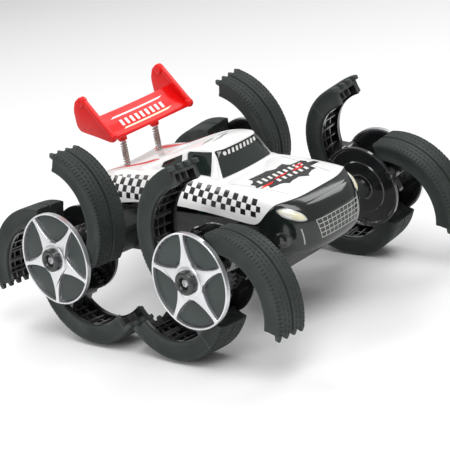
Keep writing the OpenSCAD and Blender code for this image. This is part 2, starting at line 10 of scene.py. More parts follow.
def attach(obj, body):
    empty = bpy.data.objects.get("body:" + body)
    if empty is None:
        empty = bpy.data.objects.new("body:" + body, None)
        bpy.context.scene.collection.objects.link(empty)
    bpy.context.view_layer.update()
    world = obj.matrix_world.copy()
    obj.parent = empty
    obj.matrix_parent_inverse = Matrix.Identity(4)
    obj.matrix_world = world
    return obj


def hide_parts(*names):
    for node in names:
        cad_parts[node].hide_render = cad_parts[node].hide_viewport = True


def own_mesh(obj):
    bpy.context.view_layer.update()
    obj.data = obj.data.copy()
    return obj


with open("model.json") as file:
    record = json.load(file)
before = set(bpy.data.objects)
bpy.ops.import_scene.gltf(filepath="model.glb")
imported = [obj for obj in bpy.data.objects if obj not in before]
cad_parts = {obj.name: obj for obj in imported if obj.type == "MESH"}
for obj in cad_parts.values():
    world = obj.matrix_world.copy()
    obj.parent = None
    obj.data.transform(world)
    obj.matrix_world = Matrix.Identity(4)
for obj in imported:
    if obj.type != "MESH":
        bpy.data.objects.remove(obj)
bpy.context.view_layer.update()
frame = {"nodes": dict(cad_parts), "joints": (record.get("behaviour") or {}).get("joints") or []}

# Everything below is drawn in millimetres and turned into metres once, in newPiece.
mm = 0.001
joints = {j["name"]: j for j in frame["joints"]}
cornerNames = ["front_right", "rear_right", "front_left", "rear_left"]


def wheelMatrix(corner):
    # wheel frame in mm: x to the car's nearer end, y up, z out of the wheel's face
    spin = joints[corner + "_spin"]
    out = Vector(spin["axis"]).normalized()
    face = Vector(spin["pos_m"]) / mm + out * spinDepth
    ahead = Vector((0, -1 if corner.startswith("front") else 1, 0))
    up = (Vector((0, 0, 1)) - out * out.z).normalized()
    return Matrix((
        (ahead.x, up.x, out.x, face.x),
        (ahead.y, up.y, out.y, face.y),
        (ahead.z, up.z, out.z, face.z),
        (0, 0, 0, 1)))


spinDepth = 40  # the spin joints are noted this far behind the wheel's face
wheelFrames = {c: wheelMatrix(c) for c in cornerNames}
hubZ = wheelFrames["front_right"].translation.z
openAngle = math.radians(joints["front_right_claw_1_swing"]["range_deg"][1])


def pivotOf(corner, number):
    p = wheelFrames[corner].inverted() @ (Vector(joints[f"{corner}_claw_{number}_swing"]["pos_m"]) / mm)
    return math.hypot(p.x, p.y), math.atan2(p.y, p.x)


pivotR = pivotOf("front_right", 1)[0]


def clawMatrix(corner, number):
    turn = Matrix.Rotation(pivotOf(corner, number)[1], 4, "Z")
    out = Matrix.Translation((pivotR, 0, 0))
    back = Matrix.Translation((-pivotR, 0, 0))
    return wheelFrames[corner] @ turn @ out @ Matrix.Rotation(openAngle, 4, "Z") @ back


def newMaterial(name):
    mat = bpy.data.materials.new(name)
    mat.use_nodes = True
    tree = mat.node_tree
    tree.nodes.clear()
    shader = tree.nodes.new("ShaderNodeBsdfPrincipled")
    end = tree.nodes.new("ShaderNodeOutputMaterial")
    tree.links.new(shader.outputs["BSDF"], end.inputs["Surface"])
    return mat, tree, shader


def addNode(tree, kind, **values):
    node = tree.nodes.new(kind)
    for key, value in values.items():
        if hasattr(node, key):
            setattr(node, key, value)
        else:
            node.inputs[key.replace("_", " ").title()].default_value = value
    return node


def mathNode(tree, op, a, b=None, c=None):
    node = tree.nodes.new("ShaderNodeMath")
    node.operation = op
    for i, v in enumerate((a, b, c)):
        if v is None:
            continue
        if isinstance(v, (int, float)):
            node.inputs[i].default_value = v
        else:
            tree.links.new(v, node.inputs[i])
    return node.outputs[0]


def noise(tree, scale, detail=3.0, rough=0.5, vector=None):
    node = addNode(tree, "ShaderNodeTexNoise", scale=scale, detail=detail, roughness=rough)
    if vector is None:
        vector = tree.nodes.new("ShaderNodeTexCoord").outputs["Object"]
    tree.links.new(vector, node.inputs["Vector"])
    return node.outputs["Fac"]


def mixColor(tree, fac, a, b):
    node = tree.nodes.new("ShaderNodeMix")
    node.data_type = "RGBA"
    for slotNumber, v in ((0, fac), (6, a), (7, b)):
        if isinstance(v, (int, float)):
            node.inputs[slotNumber].default_value = v
        elif isinstance(v, tuple):
            node.inputs[slotNumber].default_value = (*v, 1)
        else:
            tree.links.new(v, node.inputs[slotNumber])
    return node.outputs[2]


def rangeNode(tree, value, lo, hi, toLo, toHi):
    node = tree.nodes.new("ShaderNodeMapRange")
    tree.links.new(value, node.inputs[0])
    for i, v in enumerate((lo, hi, toLo, toHi)):
        node.inputs[i + 1].default_value = v
    return node.outputs[0]


def bump(tree, shader, height, strength, distance):
    node = tree.nodes.new("ShaderNodeBump")
    node.inputs["Strength"].default_value = strength
    node.inputs["Distance"].default_value = distance
    tree.links.new(height, node.inputs["Height"])
    tree.links.new(node.outputs[0], shader.inputs["Normal"])


def paintedEdgeHighlight(tree, spread=0.12):
    # painted highlight: bright where the surface bends sharply outwards
    geo = tree.nodes.new("ShaderNodeNewGeometry")
    return rangeNode(tree, geo.outputs["Pointiness"], 0.5 + spread * 0.3, 0.5 + spread, 0.0, 1.0)


def plastic(name, color, darker, rough, coat=0.0, grain=0.0, grainScale=900.0, edgeHighlightColor=None):
    mat, tree, shader = newMaterial(name)
    tone = mixColor(tree, rangeNode(tree, noise(tree, 34.0, 4.0), 0.3, 0.7, 0.0, 1.0), color, darker)
    # painted edge highlight: a lighter colour on sharp outward edges, broken up by noise
    if edgeHighlightColor:
        tone = mixColor(tree, mathNode(tree, "MULTIPLY", paintedEdgeHighlight(tree), noise(tree, 160.0)), tone, edgeHighlightColor)
    tree.links.new(tone, shader.inputs["Base Color"])
    tree.links.new(rangeNode(tree, noise(tree, 60.0, 5.0, 0.65), 0.3, 0.7, rough * 0.8, rough * 1.25),
                   shader.inputs["Roughness"])
    shader.inputs["Coat Weight"].default_value = coat
    shader.inputs["Coat Roughness"].default_value = 0.06
    if grain:
        bump(tree, shader, noise(tree, grainScale, 2.0), grain, 0.0002)
    return mat


def metal(name, color, rough, brushed=0.0):
    mat, tree, shader = newMaterial(name)
    tone = mixColor(tree, noise(tree, 45.0, 4.0), color, tuple(c * 0.86 for c in color))
    tree.links.new(tone, shader.inputs["Base Color"])
    shader.inputs["Metallic"].default_value = 0.85
    tree.links.new(rangeNode(tree, noise(tree, 90.0, 4.0), 0.3, 0.7, rough * 0.8, rough * 1.3),
                   shader.inputs["Roughness"])
    if brushed:
        bump(tree, shader, noise(tree, 1400.0, 2.0), brushed, 0.0001)
    return mat


def rubberMaterial():
    mat, tree, shader = newMaterial("treadRubber")
    dust = rangeNode(tree, noise(tree, 28.0, 6.0, 0.62), 0.42, 0.68, 0.0, 1.0)
    tone = mixColor(tree, dust, (0.02, 0.026, 0.0235), (0.034, 0.042, 0.038))
    # painted highlight: lighter rubber on sharp outward edges
    tone = mixColor(tree, mathNode(tree, "MULTIPLY", paintedEdgeHighlight(tree, 0.1), 0.5), tone, (0.075, 0.088, 0.082))
    tree.links.new(tone, shader.inputs["Base Color"])
    tree.links.new(rangeNode(tree, noise(tree, 70.0, 5.0), 0.3, 0.7, 0.46, 0.68),
                   shader.inputs["Roughness"])
    shader.inputs["Specular IOR Level"].default_value = 0.3
    bump(tree, shader, noise(tree, 1500.0, 3.0), 0.22, 0.0002)
    return mat


bodyLook = {
    "square": 3.95,  # side of a checker square along the car, mm
    "frontTop": (35.3, 0.118),  # height of the front band's top at the middle, and its slope
    "frontRow": 3.4,
    "rearTop": 35.6,
    "rearRow": 3.9,
}


def bodyMaterial():
    # white gloss with the two checker bands on each flank
    mat, tree, shader = newMaterial("whiteBody")
    place = tree.nodes.new("ShaderNodeSeparateXYZ")
    tree.links.new(tree.nodes.new("ShaderNodeTexCoord").outputs["Object"], place.inputs[0])
    x, y, z = (mathNode(tree, "MULTIPLY", place.outputs[i], 1 / mm) for i in range(3))
    z = mathNode(tree, "SUBTRACT", z, hubZ)
    top, slope = bodyLook["frontTop"]
    parts = []
    for lo, hi, rowTop, row, rows in (
            (-66.5, 9, mathNode(tree, "MULTIPLY_ADD", y, slope, top), bodyLook["frontRow"], 3),
            (22, 74, bodyLook["rearTop"], bodyLook["rearRow"], 4)):
        v = mathNode(tree, "DIVIDE", mathNode(tree, "SUBTRACT", rowTop, z), row)
        u = mathNode(tree, "DIVIDE", y, bodyLook["square"])
        cell = mathNode(tree, "ADD", mathNode(tree, "FLOOR", u), mathNode(tree, "FLOOR", v))
        dark = mathNode(tree, "COMPARE", mathNode(tree, "FLOORED_MODULO", cell, 2), 0, 0.1)
        for test in (("GREATER_THAN", v, 0), ("LESS_THAN", v, rows), ("GREATER_THAN", y, lo),
                     ("LESS_THAN", y, hi)):
            dark = mathNode(tree, "MULTIPLY", dark, mathNode(tree, test[0], test[1], test[2]))
        parts.append(dark)
    side = mathNode(tree, "GREATER_THAN", mathNode(tree, "ABSOLUTE", x), 30.6)
    checks = mathNode(tree, "MULTIPLY", mathNode(tree, "ADD", parts[0], parts[1]), side)
    white = mixColor(tree, noise(tree, 26.0, 4.0), (0.9, 0.9, 0.89), (0.84, 0.845, 0.84))
    tree.links.new(mixColor(tree, checks, white, (0.012, 0.012, 0.013)), shader.inputs["Base Color"])
    tree.links.new(rangeNode(tree, noise(tree, 50.0, 5.0), 0.3, 0.7, 0.16, 0.26),
                   shader.inputs["Roughness"])
    shader.inputs["Coat Weight"].default_value = 0.5
    shader.inputs["Coat Roughness"].default_value = 0.05
    bump(tree, shader, noise(tree, 240.0, 2.0), 0.04, 0.0002)
    return mat


def wingMaterial():
    mat, tree, shader = newMaterial("redWing")
    tone = mixColor(tree, noise(tree, 40.0, 4.0), (0.8, 0.004, 0.004), (0.7, 0.003, 0.003))
    # painted highlight: lighter, warmer red on sharp outward edges
    tone = mixColor(tree, mathNode(tree, "MULTIPLY", paintedEdgeHighlight(tree), 0.25), tone, (0.9, 0.12, 0.08))
    tree.links.new(tone, shader.inputs["Base Color"])
    tree.links.new(rangeNode(tree, noise(tree, 70.0, 5.0), 0.3, 0.7, 0.26, 0.4), shader.inputs["Roughness"])
    shader.inputs["Specular IOR Level"].default_value = 0.25
    shader.inputs["Coat Weight"].default_value = 0.12
    shader.inputs["Coat Roughness"].default_value = 0.08
    return mat


def lensMaterial():
    mat, tree, shader = newMaterial("headlightLens")
    warm = rangeNode(tree, noise(tree, 130.0, 3.0), 0.35, 0.65, 0.0, 1.0)
    tree.links.new(mixColor(tree, warm, (0.95, 0.94, 0.88), (0.9, 0.84, 0.55)), shader.inputs["Base Color"])
    tree.links.new(rangeNode(tree, noise(tree, 300.0), 0.3, 0.7, 0.08, 0.2), shader.inputs["Roughness"])
    shader.inputs["Coat Weight"].default_value = 1.0
    shader.inputs["Transmission Weight"].default_value = 0.15
    bump(tree, shader, noise(tree, 500.0, 2.0), 0.15, 0.0004)
    return mat


print("making materials")
mats = {
    "body": bodyMaterial(),
    "wing": wingMaterial(),
    "lens": lensMaterial(),
    "tread": rubberMaterial(),
    # the last colour given to blackGloss, wheelPanel, hubCapDark and chassisBlack is their painted edge
    # highlight
    "blackGloss": plastic("blackGloss", (0.008, 0.008, 0.009), (0.014, 0.015, 0.016), 0.16, coat=0.8,
                          edgeHighlightColor=(0.09, 0.09, 0.095)),
    "noseBlack": plastic("noseBlack", (0.006, 0.0085, 0.0075), (0.01, 0.014, 0.012), 0.15, coat=0.35),
    "panel": plastic("wheelPanel", (0.034, 0.048, 0.045), (0.026, 0.037, 0.034), 0.4, grain=0.1,
                     edgeHighlightColor=(0.09, 0.1, 0.1)),
    "cap": plastic("hubCapDark", (0.016, 0.018, 0.018), (0.028, 0.03, 0.03), 0.28, coat=0.3,
                   edgeHighlightColor=(0.12, 0.12, 0.12)),
    "chassis": plastic("chassisBlack", (0.022, 0.025, 0.024), (0.034, 0.037, 0.036), 0.45, grain=0.16,
                       edgeHighlightColor=(0.09, 0.095, 0.09)),
    "glass": plastic("smokedWindow", (0.006, 0.012, 0.011), (0.012, 0.02, 0.018), 0.1, coat=1.0),
    "silver": metal("starSilver", (0.83, 0.84, 0.86), 0.3, 0.03),
    "steel": metal("steel", (0.62, 0.62, 0.64), 0.3, 0.06),
    "spring": metal("springWire", (0.46, 0.43, 0.39), 0.34, 0.05),
    "motor": metal("motorCan", (0.6, 0.61, 0.63), 0.34, 0.06),
    "brass": metal("brass", (0.76, 0.58, 0.28), 0.32, 0.05),
    "battery": plastic("batteryWrap", (0.03, 0.12, 0.42), (0.02, 0.09, 0.34), 0.22, coat=0.4),
    "board": plastic("circuitGreen", (0.015, 0.12, 0.05), (0.01, 0.08, 0.035), 0.3, coat=0.3),
    "decalBlack": plastic("decalBlack", (0.012, 0.012, 0.013), (0.03, 0.033, 0.03), 0.3, coat=0.3),
    "decalRed": plastic("decalRed", (0.8, 0.004, 0.004), (0.68, 0.003, 0.003), 0.34, coat=0.1),
    "decalWhite": plastic("decalWhite", (0.88, 0.88, 0.86), (0.8, 0.8, 0.78), 0.3, coat=0.3),
    "decalGrey": plastic("decalGrey", (0.3, 0.31, 0.31), (0.2, 0.21, 0.21), 0.32, coat=0.2),
    "decalCream": plastic("decalCream", (0.86, 0.8, 0.62), (0.8, 0.72, 0.5), 0.3, coat=0.2),
    "grille": plastic("grilleSilver", (0.42, 0.43, 0.4), (0.34, 0.35, 0.33), 0.3, coat=0.2),
}


def newPiece(name, bm, body, mat, smooth=35, stands=()):
    # bm is in millimetres; the piece is closed off, shaded and tied to its body
    bmesh.ops.remove_doubles(bm, verts=bm.verts, dist=0.0005)
    bmesh.ops.recalc_face_normals(bm, faces=bm.faces)
    bmesh.ops.scale(bm, vec=(mm, mm, mm), verts=bm.verts)
    mesh = bpy.data.meshes.new(name)
    bm.to_mesh(mesh)
    bm.free()
    mesh.shade_smooth()
    mesh.set_sharp_from_angle(angle=math.radians(smooth))
    obj = bpy.data.objects.new(name, mesh)
    bpy.context.scene.collection.objects.link(obj)
    mesh.materials.append(mats[mat])
    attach(obj, body)
    if stands:
        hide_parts(*stands)
    return obj


def ringFaces(bm, rings, closedAround, capStart=False, capEnd=False):
    # joins rows of vertices into quads
    for a, b in zip(rings[:-1], rings[1:]):
        count = len(a)
        for i in range(count if closedAround else count - 1):
            j = (i + 1) % count
            bm.faces.new((a[i], a[j], b[j], b[i]))
    if capStart:
        bm.faces.new(rings[0])
    if capEnd:
        bm.faces.new(rings[-1])


def gridMesh(rows, closedAround=False, capStart=False, capEnd=False):
    bm = bmesh.new()
    rings = [[bm.verts.new(p) for p in row] for row in rows]
    ringFaces(bm, rings, closedAround, capStart, capEnd)
    return bm


def lathe(profile, steps=72, start=0.0, end=math.tau):
    # profile is [(radius, depth)], turned about the z axis;
    # closed if it starts and ends on the axis or on itself
    bm = bmesh.new()
    full = abs(end - start - math.tau) < 1e-6
    count = steps if full else steps + 1
    rings = []
    for s in range(count):
        a = start + (end - start) * s / steps
        rings.append([bm.verts.new((r * math.cos(a), r * math.sin(a), z)) for r, z in profile])
    pairs = list(zip(rings, rings[1:] + ([rings[0]] if full else [])))
    if not full:
        pairs = pairs[:count - 1]
    for a, b in pairs:
        for i in range(len(profile)):
            j = (i + 1) % len(profile)
            bm.faces.new((a[i], b[i], b[j], a[j]))
    if not full:
        bm.faces.new(rings[0])
        bm.faces.new(list(reversed(rings[-1])))
    bmesh.ops.remove_doubles(bm, verts=bm.verts, dist=0.0005)
    bmesh.ops.dissolve_degenerate(bm, edges=bm.edges, dist=0.0005)
    return bm


def prism(outline, z0, z1, bevel=0.0, segments=2):
    bm = bmesh.new()
    low = [bm.verts.new((x, y, z0)) for x, y in outline]
    high = [bm.verts.new((x, y, z1)) for x, y in outline]
    bm.faces.new(low)
    bm.faces.new(high)
    ringFaces(bm, [low, high], True)
    bmesh.ops.recalc_face_normals(bm, faces=bm.faces)
    if bevel:
        sharp = [e for e in bm.edges if len(e.link_faces) == 2 and e.calc_face_angle(0) > 0.6]
        bmesh.ops.bevel(bm, geom=sharp, offset=bevel, segments=segments, affect="EDGES", profile=0.5)
    return bm


def joined(parts):
    # several bmeshes into one
    out = bmesh.new()
    for part in parts:
        mesh = bpy.data.meshes.new("scratch")
        part.to_mesh(mesh)
        part.free()
        out.from_mesh(mesh)
        bpy.data.meshes.remove(mesh)
    return out


def moved(bm, matrix):
    bmesh.ops.transform(bm, matrix=matrix, verts=bm.verts)
    if matrix.determinant() < 0:
        bmesh.ops.reverse_faces(bm, faces=bm.faces)
    return bm


def copyOf(bm):
    return bm.copy()


def linkedObject(bm, name):
    # uses the bmesh up
    mesh = bpy.data.meshes.new(name)
    bm.to_mesh(mesh)
    bm.free()
    obj = bpy.data.objects.new(name, mesh)
    bpy.context.scene.collection.objects.link(obj)
    return obj


def smoothed(bm, levels, creases=()):
    # applies a subdivision surface; creases is a test on an edge's two points that returns 0 to 1
    bmesh.ops.recalc_face_normals(bm, faces=bm.faces)
    if creases:
        layer = bm.edges.layers.float.get("crease_edge") or bm.edges.layers.float.new("crease_edge")
        for e in bm.edges:
            e[layer] = creases(e.verts[0].co, e.verts[1].co)
    obj = linkedObject(bm, "scratch")
    mod = obj.modifiers.new("smooth", "SUBSURF")
    mod.levels = mod.render_levels = levels
    return takeMesh(obj)


def takeMesh(obj):
    deps = bpy.context.evaluated_depsgraph_get()
    mesh = bpy.data.meshes.new_from_object(obj.evaluated_get(deps))
    out = bmesh.new()
    out.from_mesh(mesh)
    old = obj.data
    bpy.data.objects.remove(obj)
    bpy.data.meshes.remove(old)
    bpy.data.meshes.remove(mesh)
    return out


def withModifiers(bm, *steps):
    # steps are (kind, {settings}) applied in turn
    obj = linkedObject(bm, "scratch")
    for kind, settings in steps:
        mod = obj.modifiers.new(kind.lower(), kind)
        for key, value in settings.items():
            setattr(mod, key, value)
    return takeMesh(obj)


def cut(bm, cutter):
    # takes the cutter's solid away
    tool = linkedObject(cutter, "cutter")
    mesh = tool.data
    out = withModifiers(bm, ("BOOLEAN", {"operation": "DIFFERENCE", "object": tool, "solver": "EXACT"}))
    bpy.data.objects.remove(tool)
    bpy.data.meshes.remove(mesh)
    return out


def rounded(points, radius, steps=5):
    # rounds the corners of a closed outline
    out = []
    count = len(points)
    for i, p in enumerate(points):
        p = Vector(p)
        a, b = Vector(points[i - 1]), Vector(points[(i + 1) % count])
        r = min(radius, (a - p).length * 0.45, (b - p).length * 0.45)
        start, end = p + (a - p).normalized() * r, p + (b - p).normalized() * r
        for s in range(steps + 1):
            t = s / steps
            out.append(tuple((1 - t) ** 2 * start + 2 * t * (1 - t) * p + t * t * end))
    return out


wheelLook = {
    "ringR": 30.0,
    "ringWidth": 1.15,
    "faceDrop": 1.5,
    "panelTop": -2.0,
    "plateTop": -2.7,
    "plateBack": -3.2,
    "hubR": 9.6,
    "capR": 7.5,
    "capHeight": 4.5,
    "arms": 5,
    "frontPhase": 93.5,
    "rearPhase": 59.6,
}
treadLook = {
    "outR": 46.0,
    "inR": 34.0,
    "z0": -3.5,
    "z1": -27.0,
    "tip": -92.5,
    "heel": 17.5,
    "finger": 4.5,  # degrees
    "groove": 1.2,
    "grooveDepth": 1.3,
    "dimplePitch": 4.2,  # degrees
}


def starArmSide(t):
    # half width of an arm from the hub (t 0) to the ring (t 1)
    return 1.15 + 5.2 * (1 - t) ** 2.6 + 0.9 * max(0, (t - 0.86) / 0.14) ** 2


def starPiece(corner, body):
    w = wheelLook
    phase = w["frontPhase"] if corner.startswith("front") else w["rearPhase"]
    inner = w["ringR"] - w["ringWidth"]
    parts = []
    ring = [(w["ringR"] - 0.35, 0), (w["ringR"], -0.35), (w["ringR"], w["plateBack"]),
            (inner, w["plateBack"]), (inner, -0.35), (inner + 0.35, 0)]
    parts.append(lathe(ring, 120))
    # the star is one outline round all the arms
    outline = []
    steps = 14
    for arm in range(w["arms"]):
        a = math.radians(phase) + arm * math.tau / w["arms"]
        along, across = Vector((math.cos(a), math.sin(a))), Vector((-math.sin(a), math.cos(a)))
        reach = inner + 0.7
        line = []
        for s in range(steps + 1):
            t = s / steps
            d = w["hubR"] - 1.2 + (reach - w["hubR"] + 1.2) * t
            line.append((d, starArmSide(t)))
        outline += [tuple(along * d - across * h) for d, h in line]
        outline += [tuple(along * d + across * h) for d, h in reversed(line)]
    bm = prism(outline, w["plateTop"] - 0.1, 0, 0)
    rim = [e for e in bm.edges if all(v.co.z > -0.01 for v in e.verts)]
    bmesh.ops.bevel(bm, geom=rim, offset=0.45, segments=3, affect="EDGES", profile=0.6)
    parts.append(bm)
    hub = [(w["capR"] + 0.05, -w["faceDrop"]), (w["hubR"], -w["faceDrop"]), (w["hubR"], 0.1),
           (w["hubR"] - 0.7, 0.45), (w["capR"] + 0.05, 0.45)]
    parts.append(lathe(hub, 64))
    bm = moved(joined(parts), wheelFrames[corner])
    return newPiece(f"{corner}_star", bm, body, "silver", 38, [f"{corner}_star_trim"])


def panelPiece(corner, body):
    # five rounded panels between the arms, standing a little proud of the black plate
    w = wheelLook
    phase = w["frontPhase"] if corner.startswith("front") else w["rearPhase"]
    inner = w["ringR"] - w["ringWidth"]
    plates = []
    for arm in range(w["arms"]):
        a0 = math.radians(phase) + arm * math.tau / w["arms"]
        a1 = a0 + math.tau / w["arms"]
        side0, side1, tip = [], [], []
        steps = 9
        for s in range(steps + 1):
            t = 0.2 + 0.66 * s / steps
            d = w["hubR"] - 1.2 + (inner - w["hubR"] + 1.9) * t
            h = starArmSide(t) + 0.95
            side0.append((d * math.cos(a0) - h * math.sin(a0), d * math.sin(a0) + h * math.cos(a0)))
            side1.append((d * math.cos(a1) + h * math.sin(a1), d * math.sin(a1) - h * math.cos(a1)))
        end0 = math.atan2(side0[-1][1], side0[-1][0])
        end1 = end0 + (math.atan2(side1[-1][1], side1[-1][0]) - end0) % math.tau
        for s in range(1, 12):
            a = end0 + (end1 - end0) * s / 12
            tip.append(((inner - 0.8) * math.cos(a), (inner - 0.8) * math.sin(a)))
        outline = side0 + tip + side1[::-1]
        bm = prism(outline, w["plateTop"] - 0.2, w["panelTop"])
        rim = [e for e in bm.edges if all(v.co.z > w["panelTop"] - 0.05 for v in e.verts)]
        bmesh.ops.bevel(bm, geom=rim, offset=0.5, segments=3, affect="EDGES", profile=0.6)
        plates.append(bm)
    newPiece(f"{corner}_panels", moved(joined(plates), wheelFrames[corner]), body, "panel",
             40)


def backPlatePiece(corner, body):
    w = wheelLook
    inner = w["ringR"] - w["ringWidth"]
    profile = [(2.6, -6.2), (5, -6.2), (5, w["plateBack"]), (inner - 3, w["plateBack"]),
               (inner - 2.4, w["plateBack"] - 0.1),
               (inner, w["plateBack"] + 0.1), (inner, w["plateTop"] - 0.2), (inner - 0.3, w["plateTop"]),
               (2.6, w["plateTop"])]
    parts = [lathe(profile, 96)]
    for number in (1, 2, 3):
        r, a = pivotOf(corner, number)
        boss = lathe([(0, w["plateBack"] + 0.4), (0, w["plateBack"] - 0.45), (2.7, w["plateBack"] - 0.45),
                      (3, w["plateBack"] - 0.2), (3, w["plateBack"] + 0.4)], 32)
        parts.append(moved(boss, Matrix.Translation(((r - 1) * math.cos(a), (r - 1) * math.sin(a), 0))))
    bm = moved(joined(parts), wheelFrames[corner])
    newPiece(f"{corner}_face_plate", bm, body, "blackGloss", 35, [f"{corner}_outer_plate"])


def capPiece(corner, body):
    w = wheelLook
    r, h = w["capR"], w["capHeight"]
    profile = [(0, -1.4), (r, -1.4), (r, h - 1.6), (r - 0.25, h - 0.8), (r - 0.9, h - 0.15), (r - 1.6, h),
               (4.6, h), (4.1, h - 0.3), (3.7, h - 1.1), (3.5, h - 2.6), (0, h - 2.6)]
    parts = [lathe(profile, 64)]
    screw = lathe([(0, h - 2.7), (2.6, h - 2.7), (2.6, h - 1.9), (2.2, h - 1.45), (1.2, h - 1.2),
                   (0, h - 1.15)], 36)
    for turn in (0.3, 0.3 + math.pi / 2):
        slotCut = prism([(-1.7, -0.32), (1.7, -0.32), (1.7, 0.32), (-1.7, 0.32)], h - 1.9, h)
        screw = cut(screw, moved(slotCut, Matrix.Rotation(turn, 4, "Z")))
    notches = []
    for i in range(10):
        a = i * math.tau / 10
        notch = prism(rounded([(-0.4, -0.55), (0.5, -0.55), (0.5, 0.55), (-0.4, 0.55)], 0.2, 2), 0.6,
                      h - 0.9)
        notches.append(moved(notch, Matrix.Rotation(a, 4, "Z") @ Matrix.Translation((r - 0.1, 0, 0))))
    cap = cut(parts[0], joined(notches))
    newPiece(f"{corner}_cap", moved(cap, wheelFrames[corner]), body, "cap", 35,
             [f"{corner}_hub_cap"])
    newPiece(f"{corner}_cap_screw", moved(screw, wheelFrames[corner]), body, "steel", 30)


def innerPlatePiece(corner, body):
    # dished glossy disc with a raised rim, three pins and their heads
    t = treadLook
    back = t["z1"] - 3.0
    front = t["z1"] - 0.5
    r = 27.9
    profile = [(2.6, front), (r - 3, front), (r - 0.3, front), (r, front - 0.3), (r, back + 0.3),
               (r - 0.3, back),
               (r - 1.6, back), (r - 2.2, back + 0.7), (18, back + 0.7), (17.4, back), (9, back),
               (8.4, back - 0.6), (6.4, back - 0.8), (6, back - 3), (2.6, back - 3)]
    parts = [lathe(profile, 110)]
    for number in (1, 2, 3):
        q, a = pivotOf(corner, number)
        pin = lathe([(0, back + 0.1), (2, back + 0.1), (2, -2.1), (0, -2.1)], 28)
        head = lathe([(0, back + 0.9), (2.7, back + 0.9), (2.7, back + 0.2), (2.2, back - 0.3),
                      (0, back - 0.45)], 28)
        for extra in (pin, head):
            parts.append(moved(extra, Matrix.Translation(((q) * math.cos(a) * 0.999,
                    q * math.sin(a) * 0.999, 0))))
    bm = moved(joined(parts), wheelFrames[corner])
    newPiece(f"{corner}_back_plate", bm, body, "blackGloss", 35, [f"{corner}_inner_plate"])


def treadHeight(angle, z):
    # how far the tread surface lies below its full radius, in mm
    t = treadLook
    middle = (t["z0"] + t["z1"]) / 2
    half = (t["z0"] - t["z1"]) / 2
    across = abs(z - middle)
    drop = 0.0
    edge = half - across
    if edge < 1.6:
        drop += 0.9 * (1 - math.sqrt(max(0.0, 1 - (1 - edge / 1.6) ** 2)))
    if across < t["groove"] / 2:
        drop += t["grooveDepth"]
    elif across < t["groove"] / 2 + 0.5:
        drop += t["grooveDepth"] * (1 - (across - t["groove"] / 2) / 0.5) ** 2 * 0.5
    drop += 0.25 * (across / half) ** 4
    # rows of paired dimples on both halves
    for row in (3.4, 6.6):
        dz = across - row
        if abs(dz) < 1.3:
            shift = t["dimplePitch"] / 2 if row > 5 else 0
            da = ((angle + shift + (0.6 if z > middle else 0)) % t["dimplePitch"]) - t["dimplePitch"] / 2
            along = math.radians(da) * t["outR"]
            for lobe in (-0.62, 0.62):
                q = math.hypot((along - lobe) / 0.5, dz / 0.85)
                if q < 1:
                    drop += 0.55 * (1 - q * q)
    # shallow cross cuts near the shoulders
    if across > 8.6:
        da = (angle % (t["dimplePitch"] * 0.75)) / (t["dimplePitch"] * 0.75)
        if da < 0.16:
            drop += 0.5 * min(1, (across - 8.6) / 1.0)
    return drop


def treadMesh():
    # one claw's rubber in the claw frame: fine outer skin, side walls and a channel inside
    t = treadLook
    a0, a1 = t["tip"], t["heel"]
    stepsA, stepsZ = ((300, 64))
    zs = [t["z1"] + (t["z0"] - t["z1"]) * i / stepsZ for i in range(stepsZ + 1)]
    wall = 2.0
    webR = t["outR"] - 4
    rows = []
    for s in range(stepsA + 1):
        a = a0 + (a1 - a0) * s / stepsA
        c, n = math.cos(math.radians(a)), math.sin(math.radians(a))
        ring = [(t["outR"] - treadHeight(a, z), z) for z in zs]
        low = t["inR"]
        ring += [(t["outR"] - 3.2, t["z0"] + 0.0), (t["outR"] - 3.6, t["z0"] - 0.3),
                 (low + 2.6, t["z0"] - 0.3),
                 (low + 2.2, t["z0"]), (low + 0.5, t["z0"]), (low, t["z0"] - 0.5), (low, t["z0"] - wall),
                 (webR, t["z0"] - wall), (webR, t["z1"] + wall), (low, t["z1"] + wall),
                 (low, t["z1"] + 0.5),
                 (low + 0.5, t["z1"]), (low + 2.2, t["z1"]), (low + 2.6, t["z1"] + 0.3),
                 (t["outR"] - 3.6, t["z1"] + 0.3), (t["outR"] - 3.2, t["z1"])]
        rows.append([(r * c, r * n, z) for r, z in ring])
    bm = gridMesh(rows, True, True, True)
    parts = [bm]
    # fingers: zigzag tongues of tread past the tip
    count = 4
    pitch = (t["z0"] - t["z1"]) / (2 * count - 1)
    for i in range(count):
        za = t["z1"] + 2 * i * pitch
        rows = []
        for s in range(9):
            k = s / 8
            a = math.radians(a0 + 0.4 - (t["finger"] + 0.4) * k)
            thin = pitch * 0.5 * (1 - 0.45 * k ** 2)
            mid = za + pitch / 2
            edge = 0.35 * k
            r0, r1 = webR + 0.5 + edge, t["outR"] - 0.25 - edge * 0.8
            ring = [(r0, mid - thin), (r0, mid + thin), (r1 - 0.4, mid + thin), (r1, mid + thin - 0.5),
                    (r1, mid - thin + 0.5), (r1 - 0.4, mid - thin)]
            rows.append([(r * math.cos(a), r * math.sin(a), z) for r, z in ring])
        parts.append(gridMesh(rows, True, True, True))
    return joined(parts)


